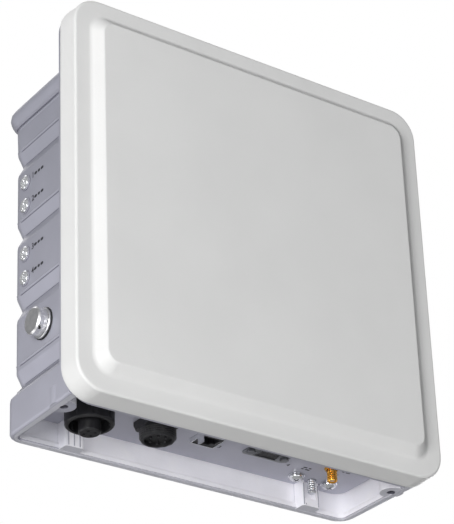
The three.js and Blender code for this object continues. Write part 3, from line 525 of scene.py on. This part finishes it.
RADOME_LOW, RADOME_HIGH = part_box("radome")
RADOME_CORNER = 18 * MM
PANEL_CORNER = 8 * MM
BEVEL_START = 11.6 * MM    # the bevel's foot, in from the side of the radome
BEVEL_END = 17.8 * MM      # the bevel's head, where the raised panel begins
BEVEL_RISE = 5.6 * MM
RADOME_EDGE = 1.8 * MM
BEVEL_FOOT_RUN = 1.6 * MM
BEVEL_HEAD_RUN = 0.6 * MM
PANEL_STEP = 9 * MM        # rings on the flat of the panel keep its shading even
RADOME_SHELL = 3 * MM
RADOME_DRAFT = 0.4 * MM
LIP_REACH = 1.4 * MM       # the radome's lip hangs this far back over the gasket and the flange
LIP_OUTSIDE = 0.2 * MM
LIP_INSIDE = 0.04 * MM


def radome_ring(inset, y):
    """The radome's outline at depth y, drawn in by inset, with corners that tighten towards the panel."""
    half_width = (RADOME_HIGH.x - RADOME_LOW.x) / 2 - inset
    half_height = (RADOME_HIGH.z - RADOME_LOW.z) / 2 - inset
    inwards = min(inset / BEVEL_END, 1.0)
    radius = RADOME_CORNER + (PANEL_CORNER - RADOME_CORNER) * inwards
    return [Vector((x, y, z)) for x, z in rounded_rectangle(half_width, half_height, radius)]


def radome_outside(front, seam, rim):
    """The outer half of the radome's profile, from its lip to the panel, as (inset, y)."""
    wall_end = (RADOME_DRAFT, rim + RADOME_EDGE)
    corner = (RADOME_DRAFT, rim)
    bevel_foot = (BEVEL_START, rim)
    bevel_head = (BEVEL_END, front)
    return [
        (-LIP_INSIDE, seam),
        (-LIP_INSIDE, seam + LIP_REACH),
        (-LIP_OUTSIDE, seam + LIP_REACH),
        (-LIP_OUTSIDE, seam - LIP_REACH),
        (RADOME_DRAFT / 2, (seam + rim) / 2),
        *fillet(wall_end, corner, bevel_foot, RADOME_EDGE, 9),
        *fillet(corner, bevel_foot, bevel_head, BEVEL_FOOT_RUN, 8),
        *fillet(bevel_foot, bevel_head, (BEVEL_END + RADOME_CORNER, front), BEVEL_HEAD_RUN, 6),
        *((BEVEL_END + count * PANEL_STEP, front) for count in (1, 2, 4)),
    ]


def radome_inside(front, seam, rim):
    """The inner half of the radome's profile, from the back of the panel to its lip, as (inset, y)."""
    return [
        (BEVEL_END + 4 * RADOME_SHELL, front + RADOME_SHELL),
        (BEVEL_END + RADOME_SHELL, front + RADOME_SHELL),
        (BEVEL_START + RADOME_SHELL, rim + RADOME_SHELL),
        (1.5 * RADOME_SHELL, rim + RADOME_SHELL),
        (RADOME_SHELL, rim + 1.5 * RADOME_SHELL),
        (RADOME_SHELL, seam),
    ]


def build_radome():
    """The radome with smoothly filleted edges and bevels, as one closed shell."""
    levels = (RADOME_LOW.y, RADOME_HIGH.y, RADOME_LOW.y + BEVEL_RISE)
    profile = radome_inside(*levels) + radome_outside(*levels)
    bm = loft([radome_ring(inset, y) for inset, y in profile])
    smooth_by_angle(bm, 50.0)
    mesh = mesh_from(bm, "radome_shell")
    piece = new_piece("radome_shell", mesh, body_of("radome"), "radome_plastic")
    weigh_normals(piece)
    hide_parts("radome")


# ---------------------------------------------------------------- housing

HOUSING_LOW, HOUSING_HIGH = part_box("rear_housing")
PANEL_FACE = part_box("connector_panel")[0].z
SKIRT_HALF_WIDTH = HOUSING_HIGH.x - 7.2 * MM
SKIN = 2.2 * MM
FLANGE = 4.2 * MM
RIM_HEIGHT = 5.2 * MM
PANEL_SEAM = 0.3 * MM      # from here above the panel's lower face, the casting has its outside coat
SHADED_CORNER = HOUSING_LOW.x + 44 * MM   # left of here the inside of the skirt gets painted shade, a darker coat
LEFT_RIM = HOUSING_LOW.x + 28 * MM        # and left of here its rim has the outside's coat
SCREW_HOLE = (118.3 * MM, -57.5 * MM, 2.7 * MM)   # in the corner bosses: |x|, y and radius

SIDEWAYS = 0.35            # a face looks along an axis when its normal has this much of it
UPRIGHT = 0.4              # and a face whose normal has less of Z than this is a wall

OUTSIDE_COAT, INSIDE_LIT_COAT, RIM_LIT_COAT, CORNER_SHADE_COAT, GROOVE_SHADE_COAT = range(5)
INNER_COATS = ("pale_paint", "rim_paint", "corner_paint", "groove_paint")


def coat_of(face):
    """Which coat a face of the casting has: the outside coat, or painted light and shade inside the skirt.
    """
    centre = face.center
    outer_skin = face.normal.x * centre.x > 0.0 and abs(centre.x) > SKIRT_HALF_WIDTH - SKIN
    faces_side = outer_skin and abs(face.normal.x) > SIDEWAYS
    faces_back = face.normal.y > SIDEWAYS and centre.y > -4 * SKIN
    above_bay = centre.z > PANEL_FACE + PANEL_SEAM
    on_flange = centre.y < HOUSING_LOW.y + FLANGE
    if above_bay or on_flange or faces_side or faces_back:
        return OUTSIDE_COAT
    hole_x, hole_y, hole_radius = SCREW_HOLE
    # painted shade: a dark coat round the screw holes in the corner bosses
    near_hole = math.hypot(abs(centre.x) - hole_x, centre.y - hole_y) < hole_radius
    if near_hole and (abs(face.normal.z) < UPRIGHT or centre.z > HOUSING_LOW.z + 2 * RIM_HEIGHT):
        return GROOVE_SHADE_COAT
    # painted light: faces looking down and the rim get a lighter coat, except at the left
    if face.normal.z < -UPRIGHT or centre.z < HOUSING_LOW.z + RIM_HEIGHT:
        return OUTSIDE_COAT if centre.x < LEFT_RIM else RIM_LIT_COAT
    # painted shade in the left corner, painted light elsewhere inside the skirt
    return CORNER_SHADE_COAT if centre.x < SHADED_CORNER else INSIDE_LIT_COAT


def build_housing():
    """The casting: the inside of its skirt gets painted light, a paler coat, with painted light of a
    middle tone on the rim and painted shade in the left corner.
    """
    piece = refined("rear_housing")
    for coat in INNER_COATS:
        piece.data.materials.append(FINISHES[coat])
    for face in piece.data.polygons:
        face.material_index = coat_of(face)


# ---------------------------------------------------------------- printed marks

INK_LIFT = 0.04 * MM
LIGHT_FIGURE_SIZE = 5.6 * MM
LIGHT_FIGURE_AHEAD = 8.2 * MM
LIGHT_FIGURE_RISE = 1.4 * MM
# The bars printed beside each status light: distance ahead of the lens and length, in millimetres.
LIGHT_BARS = ((11.4, 3.2), (15.2, 2.6), (18.9, 3.2))
LIGHT_BAR_WIDTH = 1.9 * MM
LIGHT_BAR_RISE = 1.5 * MM

MARKED_PORTS = ("power_port_shell", "data_port_shell", "ethernet_port_shell", "serial_port_shell",
                "antenna_port_nut")
PORT_FIGURE_SIZE = 4.2 * MM
PORT_FIGURE_ASIDE = 6 * MM
PORT_FIGURE_BEHIND = 8 * MM
# Where the rows of printed bars start on the connector panel, as (x, y) in millimetres.
PANEL_LABELS = ((-68, -43), (-24, -42), (17, -42), (72, -31), (97, -40))
LABEL_ROWS = ((3.2, 2.2), (2.0, 3.6))
LABEL_ROW_PITCH = 2.4
LABEL_BAR_WIDTH = 1.4 * MM
LABEL_BAR_GAP = 0.9


def figure_mesh(name, text, size):
    """A numeral as a flat mesh in the XY plane, centred on its own middle."""
    curve = bpy.data.curves.new(name, "FONT")
    curve.body = text
    curve.size = size
    curve.align_x = "CENTER"
    curve.align_y = "CENTER"
    curve.resolution_u = 3
    curve.offset = 0.022 * size
    return curve_to_mesh(curve)


def dash_mesh(length, width, steps=6):
    """A thin printed dash in the XY plane with rounded ends."""
    half = (length - width) / 2
    points = []
    for side, turned in ((1, 0.0), (-1, math.pi)):
        for step in range(steps + 1):
            angle = turned + (step / steps - 0.5) * math.pi
            points.append((side * half + width / 2 * math.cos(angle), width / 2 * math.sin(angle), 0.0))
    bm = bmesh.new()
    bm.faces.new([bm.verts.new(point) for point in points])
    return mesh_from(bm, "dash")


def moved(mesh, matrix):
    mesh.transform(matrix)
    return mesh


def print_mark(name, meshes, tree, direction):
    """Flat meshes printed as one mark on a surface that lies along direction."""
    piece = new_piece(name, merged(meshes, name), "unit", "printing_ink")
    for vertex in piece.data.vertices:
        vertex.co = drop_onto(tree, vertex.co, direction, INK_LIFT)


def build_light_marks():
    """A numeral and a row of short bars printed in front of each status light."""
    tree = surface_tree("rear_housing")
    turn = Matrix(((0, 0, -1), (-1, 0, 0), (0, 1, 0))).to_4x4()
    for number in LIGHT_NUMBERS:
        low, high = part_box(f"light_lens_{number}")
        centre = (low + high) / 2
        spot = (low.x, centre.y - LIGHT_FIGURE_AHEAD, centre.z + LIGHT_FIGURE_RISE)
        figure = figure_mesh(f"light_figure_{number}", str(number), LIGHT_FIGURE_SIZE)
        meshes = [moved(figure, Matrix.Translation(spot) @ turn)]
        for ahead, length in LIGHT_BARS:
            spot = (low.x, centre.y - ahead * MM, centre.z + LIGHT_BAR_RISE)
            bar = dash_mesh(length * MM, LIGHT_BAR_WIDTH)
            meshes.append(moved(bar, Matrix.Translation(spot) @ turn))
        print_mark(f"light_mark_{number}", meshes, tree, (1.0, 0.0, 0.0))


def label_bars(x, y, turn):
    """Rows of bars of different lengths that start at x, y on the connector panel."""
    bars = []
    for row, lengths in enumerate(LABEL_ROWS):
        along = x
        for length in lengths:
            spot = ((along + length / 2) * MM, (y + row * LABEL_ROW_PITCH) * MM, PANEL_FACE)
            bars.append(moved(dash_mesh(length * MM, LABEL_BAR_WIDTH), Matrix.Translation(spot) @ turn))
            along += length + LABEL_BAR_GAP
    return bars


def build_port_marks():
    """A numeral beside each port and small rows of bars, printed on the connector panel."""
    tree = surface_tree("connector_panel")
    upwards = (0.0, 0.0, 1.0)
    turn = Matrix(((1, 0, 0), (0, -1, 0), (0, 0, -1))).to_4x4()
    for number, port in enumerate(MARKED_PORTS, start=1):
        low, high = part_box(port)
        spot = (high.x + PORT_FIGURE_ASIDE, (low.y + high.y) / 2 + PORT_FIGURE_BEHIND, PANEL_FACE)
        figure = figure_mesh(f"port_figure_{number}", str(number), PORT_FIGURE_SIZE)
        print_mark(f"port_mark_{number}", [moved(figure, Matrix.Translation(spot) @ turn)], tree, upwards)
    for number, (x, y) in enumerate(PANEL_LABELS, start=1):
        print_mark(f"panel_label_{number}", label_bars(x, y, turn), tree, upwards)


# ---------------------------------------------------------------- lines cast into the flanks, and lines of painted shade

LIP_FOOT = HOUSING_HIGH.z - 51.4 * MM
HIGHEST_VALLEY = HOUSING_HIGH.z - 67.5 * MM      # the upper edge of the highest valley
VALLEY_PITCH = 49.7 * MM
LOWEST_VALLEY_RAISED = 3 * MM                    # the lowest valley is wider, so its edge is higher
VALLEY_TOPS = [HIGHEST_VALLEY - VALLEY_PITCH * index for index in range(4)]
VALLEY_TOPS[-1] += LOWEST_VALLEY_RAISED
VALLEY_DROP = 20 * MM                            # the deepest line is looked for within this height
VALLEY_STEPS = 40
FLANK_FRONT = HOUSING_LOW.y + 3.8 * MM
FLANK_REAR = HOUSING_HIGH.y - 2.4 * MM
FLANK_OUTSIDE = HOUSING_HIGH.x + 8 * MM          # rays towards a flank start out here
LINE_STEPS = 12
# Each line: how far above its edge it runs, its radius and how far it is sunk, in millimetres.
LIP_GROOVE = (1.0, 0.5, 0.3)
LIP_BEAD = (-0.6, 0.8, 0.35)
VALLEY_BEAD = (0.6, 0.9, 0.5)
VALLEY_GROOVE = (-0.9, 0.4, 0.2)
FLOOR_GROOVE = (0.0, 0.4, 0.15)
LOOP_HEIGHT = HOUSING_LOW.z + 33.2 * MM          # the long loop between the lowest valley and the skirt
LOOP_HALF = 2 * MM
LOOP_FRONT = HOUSING_LOW.y + 11 * MM
LOOP_REAR = HOUSING_HIGH.y - 11 * MM
LOOP_RADIUS = 0.42 * MM
LOOP_SUNK = 0.15 * MM


def tube_mesh(points, radius, cyclic=False):
    """A round bead along a path."""
    curve = bpy.data.curves.new("path", "CURVE")
    curve.dimensions = "3D"
    curve.bevel_depth = radius
    curve.bevel_resolution = 3
    curve.use_fill_caps = not cyclic
    spline = curve.splines.new("POLY")
    spline.points.add(len(points) - 1)
    for target, point in zip(spline.points, points):
        target.co = (*point, 1.0)
    spline.use_cyclic_u = cyclic
    mesh = curve_to_mesh(curve)
    for face in mesh.polygons:
        face.use_smooth = True
    return mesh


def add_tubes(name, meshes, finish):
    """Beads or grooves of the casting, as one piece."""
    new_piece(name, merged(meshes, name), "unit", finish)


def onto_flank(tree, side, y, z, sunk=0.0):
    """The point of a flank at y, z, or sunk below its surface."""
    return drop_onto(tree, (side * FLANK_OUTSIDE, y, z), (-side, 0.0, 0.0), -sunk)


def flank_line(tree, side, edge, shape):
    """A straight bead or groove along a flank beside an edge at one height."""
    above, radius, sunk = (value * MM for value in shape)
    points = []
    for step in range(LINE_STEPS + 1):
        y = FLANK_FRONT + (FLANK_REAR - FLANK_FRONT) * step / LINE_STEPS
        points.append(onto_flank(tree, side, y, edge + above, sunk))
    return tube_mesh(points, radius)


def valley_floor(tree, side, top):
    """The height of the deepest line of a valley below its upper edge."""
    middle = (FLANK_FRONT + FLANK_REAR) / 2
    heights = [top - VALLEY_DROP * step / VALLEY_STEPS for step in range(VALLEY_STEPS + 1)]
    landings = [onto_flank(tree, side, middle, height) for height in heights]
    return min(landings, key=lambda landing: abs(landing.x)).z


def flank_loop(tree, side, steps=8):
    """The long loop on a flank between the lowest valley and the skirt, drawn as a dark line of painted
    shade.
    """
    points = []
    for start_angle, end in ((math.pi, LOOP_FRONT), (0.0, LOOP_REAR)):
        for step in range(steps + 1):
            angle = start_angle + (step / steps - 0.5) * math.pi
            y = end + LOOP_HALF * math.cos(angle)
            z = LOOP_HEIGHT + LOOP_HALF * math.sin(angle)
            points.append(onto_flank(tree, side, y, z, LOOP_SUNK))
    return tube_mesh(points, LOOP_RADIUS, cyclic=True)


def build_flank_lines():
    """The cast beads that follow the lip and the valleys of each flank, beside dark grooves of painted
    shade.
    """
    tree = surface_tree("rear_housing")
    for name, side in (("left", -1), ("right", 1)):
        grooves = [flank_line(tree, side, LIP_FOOT, LIP_GROOVE), flank_loop(tree, side)]
        beads = [flank_line(tree, side, LIP_FOOT, LIP_BEAD)]
        for top in VALLEY_TOPS:
            beads.append(flank_line(tree, side, top, VALLEY_BEAD))
            grooves.append(flank_line(tree, side, top, VALLEY_GROOVE))
            grooves.append(flank_line(tree, side, valley_floor(tree, side, top), FLOOR_GROOVE))
        # painted shade: the grooves are dark tubes that stand for the shade in the creases
        add_tubes(f"flank_grooves_{name}", grooves, "groove_paint")
        add_tubes(f"flank_beads_{name}", beads, "cast_paint")


# ---------------------------------------------------------------- ribs inside the skirt

# The columns' edges in millimetres, and where their ribs stand as shares of the width.
COLUMNS = {"left": (-90.0, -77.0, (0.15, 0.45, 0.75)), "right": (83.5, 97.0, (0.08, 0.18, 0.88))}
RIB_RADIUS = 0.35 * MM
RIB_TOP = PANEL_FACE - 1.5 * MM
RIB_FOOT = HOUSING_LOW.z + 4.6 * MM
IN_THE_BAY = HOUSING_HIGH.y - 34 * MM            # rays back to the columns start at this depth
TO_THE_BACK = 33 * MM


def build_column_ribs():
    """Fine upright ribs on the front of each column inside the skirt."""
    tree = surface_tree("rear_housing")
    backwards = Vector((0.0, 1.0, 0.0))
    for name, (left, right, shares) in COLUMNS.items():
        ribs = []
        for share in shares:
            x = (left + (right - left) * share) * MM
            starts = [Vector((x, IN_THE_BAY, z)) for z in (RIB_TOP, RIB_FOOT)]
            points = [tree.ray_cast(start, backwards, TO_THE_BACK)[0] for start in starts]
            ribs.append(tube_mesh(points, RIB_RADIUS))
        add_tubes(f"column_ribs_{name}", ribs, "cast_paint")


# ---------------------------------------------------------------- data port

DATA_BARREL_RADIUS = 10.7 * MM
GRIP_START = 1.2 * MM      # above the barrel's end
GRIP_END = 6.6 * MM
GRIP_RIDGES = 4
GRIP_RIDGE_HEIGHT = 0.45 * MM
GRIP_SUNK = 0.1 * MM
GRIP_WALL = 1.5 * MM


def build_data_port_grip(around=48, steps_per_ridge=6):
    """A sleeve of rounded ridges round the barrel of the round data port."""
    low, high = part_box("data_port_shell")
    centre = (low + high) / 2
    bottom = low.z + GRIP_START
    top = low.z + GRIP_END
    radius = DATA_BARREL_RADIUS - GRIP_SUNK
    rows = GRIP_RIDGES * steps_per_ridge
    profile = [(radius - GRIP_WALL, bottom)]
    for row in range(rows + 1):
        share = row / rows
        ridge = GRIP_RIDGE_HEIGHT * math.sin(math.pi * GRIP_RIDGES * share) ** 2
        profile.append((radius + ridge, bottom + (top - bottom) * share))
    profile.append((radius - GRIP_WALL, top))
    angles = [2 * math.pi * step / around for step in range(around)]
    rings = [
        [(centre.x + reach * math.cos(angle), centre.y + reach * math.sin(angle), z) for angle in angles]
        for reach, z in profile
    ]
    bm = loft(rings, joined=True)
    smooth_by_angle(bm, 40.0)
    new_piece("data_port_grip", mesh_from(bm, "data_port_grip"), "unit", "black_plastic")


# ---------------------------------------------------------------- status lights

LENS_SEAT = 2.0 * MM       # the dome starts this far in from the lens's outer end
LENS_SECTORS = 14
# The dome's rings from foot to tip: share of its radius, and height in millimetres.
LENS_RINGS = ((1.0, 0.0), (1.0, 0.9), (0.86, 1.35), (0.70, 1.30), (0.52, 1.85), (0.34, 1.60), (0.16, 2.0))
FIRST_CUT_RING = 3
LENS_CUT = 0.14 * MM


def build_lens(number):
    """A status light's lens: a low dome cut into rings of small facets."""
    low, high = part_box(f"light_lens_{number}")
    centre = (low + high) / 2
    radius = (high.z - low.z) / 2
    rings = []
    for level, (share, height) in enumerate(LENS_RINGS):
        ring = []
        for step in range(LENS_SECTORS):
            angle = 2 * math.pi * (step + 0.5 * (level % 2)) / LENS_SECTORS
            facet = LENS_CUT * (-1) ** step if level >= FIRST_CUT_RING else 0.0
            x = low.x + LENS_SEAT - height * MM + facet
            y = centre.y + radius * share * math.cos(angle)
            z = centre.z + radius * share * math.sin(angle)
            ring.append(Vector((x, y, z)))
        rings.append(ring)
    bm = loft(rings)
    bmesh.ops.triangulate(bm, faces=bm.faces)
    bmesh.ops.recalc_face_normals(bm, faces=bm.faces)
    name = f"light_dome_{number}"
    piece = new_piece(name, mesh_from(bm, name), "unit", "clear_plastic")
    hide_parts(f"light_lens_{number}")


# ---------------------------------------------------------------- vent cap

VENT_LOW, VENT_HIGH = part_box("vent_cap")
VENT_CENTRE = (VENT_LOW + VENT_HIGH) / 2
VENT_RADIUS = (VENT_HIGH.z - VENT_LOW.z) / 2
KNURL_START = VENT_LOW.x + 4.2 * MM
KNURL_END = VENT_HIGH.x - 0.2 * MM
KNURL_CRESTS = 30
KNURL_TWIST = 3            # crests that one ridge crosses on its way along the cap
KNURL_HEIGHT = 0.15 * MM
KNURL_SUNK = 0.05 * MM
KNURL_WALL = 1 * MM
PIN_HOLE_RADIUS = 0.9 * MM
PIN_HOLE_DEPTH = 1.6 * MM
PIN_HOLE_PROUD = 0.08 * MM
PIN_HOLE_EDGE = 0.15 * MM
PIN_HOLE_INSET = 2.3 * MM  # from the cap's outer end
PIN_HOLE_FACES = Vector((0.0, -0.62, -0.78))


def vent_ring(x, radii):
    """A ring about the vent's axis at x, with one radius for each of its steps."""
    points = []
    for step, radius in enumerate(radii):
        angle = 2 * math.pi * step / len(radii)
        y = VENT_CENTRE.y + radius * math.cos(angle)
        z = VENT_CENTRE.z + radius * math.sin(angle)
        points.append(Vector((x, y, z)))
    return points


def build_vent_knurl(steps_per_crest=4, along=12):
    """The knurled grip band round the vent cap: two sets of ridges that cross each other."""
    around = KNURL_CRESTS * steps_per_crest
    rings = []
    for row in range(along + 1):
        share = row / along
        twist = share * 2 * math.pi / KNURL_CRESTS * KNURL_TWIST
        height = 0.0 if row in (0, along) else KNURL_HEIGHT
        radii = []
        for step in range(around):
            angle = 2 * math.pi * step / around
            ridge = max(math.cos(KNURL_CRESTS * (angle + twist)), math.cos(KNURL_CRESTS * (angle - twist)))
            radii.append(VENT_RADIUS - KNURL_SUNK + height * ridge)
        rings.append(vent_ring(KNURL_START + (KNURL_END - KNURL_START) * share, radii))
    for x in (KNURL_END, KNURL_START):
        rings.append(vent_ring(x, [VENT_RADIUS - KNURL_WALL] * around))
    bm = loft(rings, joined=True)
    smooth_by_angle(bm, 30.0)
    new_piece("vent_cap_knurl", mesh_from(bm, "vent_cap_knurl"), "vent_cap", "satin_steel")


def build_vent_pin_hole():
    """The pin hole in the side of the vent cap, near its outer end, drawn as a black plug of painted
    shade.
    """
    bm = bmesh.new()
    bmesh.ops.create_cone(bm, cap_ends=True, segments=20, radius1=PIN_HOLE_RADIUS, radius2=PIN_HOLE_RADIUS,
                          depth=PIN_HOLE_DEPTH)
    rims = [edge for edge in bm.edges if edge.calc_face_angle(0.0) > 1.0]
    bmesh.ops.bevel(bm, geom=rims, offset=PIN_HOLE_EDGE, segments=2, affect="EDGES")
    turn = PIN_HOLE_FACES.to_track_quat("Z", "Y").to_matrix().to_4x4()
    mouth = Vector((VENT_LOW.x + PIN_HOLE_INSET, VENT_CENTRE.y, VENT_CENTRE.z))
    reach = VENT_RADIUS - PIN_HOLE_DEPTH / 2 + PIN_HOLE_PROUD
    bm.transform(Matrix.Translation(mouth + PIN_HOLE_FACES * reach) @ turn)
    smooth_by_angle(bm, 40.0)
    new_piece("vent_cap_pin_hole", mesh_from(bm, "vent_cap_pin_hole"), "vent_cap", "rubber")


# ---------------------------------------------------------------- building the object

REBUILT = {"radome", "rear_housing", *(f"light_lens_{number}" for number in LIGHT_NUMBERS)}
build_radome()
build_housing()
for node_name in sorted(set(NODES) - REBUILT):
    refined(node_name)
for light_number in LIGHT_NUMBERS:
    build_lens(light_number)
build_light_marks()
build_port_marks()
build_flank_lines()
build_column_ribs()
build_data_port_grip()
build_vent_knurl()
build_vent_pin_hole()


# ---------------------------------------------------------------- studio

def add_softbox(name, towards, level, side):
    """A square soft light that gives a white surface facing it the radiance level."""
    light = bpy.data.lights.new(name, "AREA")
    light.shape = "SQUARE"
    light.size = side
    light.energy = level * math.pi ** 2 * SOFTBOX_DISTANCE ** 2
    lamp = bpy.data.objects.new(name, light)
    direction = Vector(towards).normalized()
    lamp.location = CENTRE + direction * SOFTBOX_DISTANCE
    lamp.rotation_mode = "QUATERNION"
    lamp.rotation_quaternion = (-direction).to_track_quat("-Z", "Y")
    lamp.visible_camera = False
    bpy.context.scene.collection.objects.link(lamp)


def add_world():
    """White behind the object, and a soft even light from all round."""
    world = bpy.data.worlds.new("studio")
    world.use_nodes = True
    bpy.context.scene.world = world
    graph = Graph(world.node_tree)
    direction = graph.node("ShaderNodeTexCoord").outputs["Generated"]
    bright_side = tuple(Vector(BRIGHT_SIDE).normalized())
    facing = graph.vector("DOT_PRODUCT", direction, bright_side).outputs["Value"]
    strength = graph.spread(facing, *(share * AMBIENT for share in AMBIENT_SHARES), -1.0, 1.0)
    ambient = graph.node("ShaderNodeBackground", {"Color": (0.97, 0.98, 1.0, 1.0), "Strength": strength})
    white = graph.node("ShaderNodeBackground", {"Color": (1.0, 1.0, 1.0, 1.0), "Strength": 1.0})
    camera_ray = graph.node("ShaderNodeLightPath").outputs["Is Camera Ray"]
    inputs = {0: camera_ray, 1: ambient.outputs[0], 2: white.outputs[0]}
    mixed = graph.node("ShaderNodeMixShader", inputs)
    graph.node("ShaderNodeOutputWorld", {"Surface": mixed.outputs[0]})


def add_floor():
    """A pale floor that fades into the white surroundings."""
    bm = bmesh.new()
    bmesh.ops.create_circle(bm, cap_ends=True, segments=96, radius=FLOOR_RADIUS)
    mesh = mesh_from(bm, "floor")
    floor = bpy.data.objects.new("floor", mesh)
    floor.location = (0.0, 0.0, CAD_LOW.z - FLOOR_DROP)
    bpy.context.scene.collection.objects.link(floor)
    made, graph = material("floor")
    place = graph.place()
    away = graph.vector("LENGTH", place).outputs["Value"]
    fade = graph.spread(away, 0.0, 1.0, *(share * FLOOR_RADIUS for share in FLOOR_FADE))
    grain = graph.varied((0.86, 0.86, 0.86), 0.02, 0.15)
    pale = graph.node("ShaderNodeBsdfDiffuse", {"Color": grain})
    glow = graph.node("ShaderNodeEmission", {"Color": (1.0, 1.0, 1.0, 1.0), "Strength": 1.0})
    lift = graph.node("ShaderNodeMixShader", {0: FLOOR_GLOW, 1: pale.outputs[0], 2: glow.outputs[0]})
    blended = graph.node("ShaderNodeMixShader", {0: fade, 1: lift.outputs[0], 2: glow.outputs[0]})
    dim = graph.node("ShaderNodeBsdfDiffuse", {"Color": (0.5, 0.5, 0.5, 1.0)})
    camera_ray = graph.node("ShaderNodeLightPath").outputs["Is Camera Ray"]
    seen = graph.node("ShaderNodeMixShader", {0: camera_ray, 1: dim.outputs[0], 2: blended.outputs[0]})
    graph.node("ShaderNodeOutputMaterial", {"Surface": seen.outputs[0]})
    mesh.materials.append(made)


def add_camera():
    azimuth = math.radians(CAMERA["azimuth"])
    elevation = math.radians(CAMERA["elevation"])
    back = Vector((
        math.sin(azimuth) * math.cos(elevation),
        -math.cos(azimuth) * math.cos(elevation),
        math.sin(elevation),
    ))
    data = bpy.data.cameras.new("camera")
    data.lens = CAMERA["lens"]
    data.clip_start = 0.05
    data.clip_end = 60.0
    camera = bpy.data.objects.new("camera", data)
    camera.location = CENTRE + AIM_OFFSET + back * CAMERA["distance"]
    upright = (-back).to_track_quat("-Z", "Y").to_matrix().to_4x4()
    roll = Matrix.Rotation(-math.radians(CAMERA["roll"]), 4, "Z")
    camera.rotation_mode = "QUATERNION"
    camera.rotation_quaternion = (upright @ roll).to_quaternion()
    bpy.context.scene.collection.objects.link(camera)
    bpy.context.scene.camera = camera


for softbox_name, softbox in SOFTBOXES.items():
    add_softbox(softbox_name, softbox["towards"], softbox["level"], softbox["side"])
add_world()
add_floor()
add_camera()
bpy.context.scene.view_settings.view_transform = "Standard"
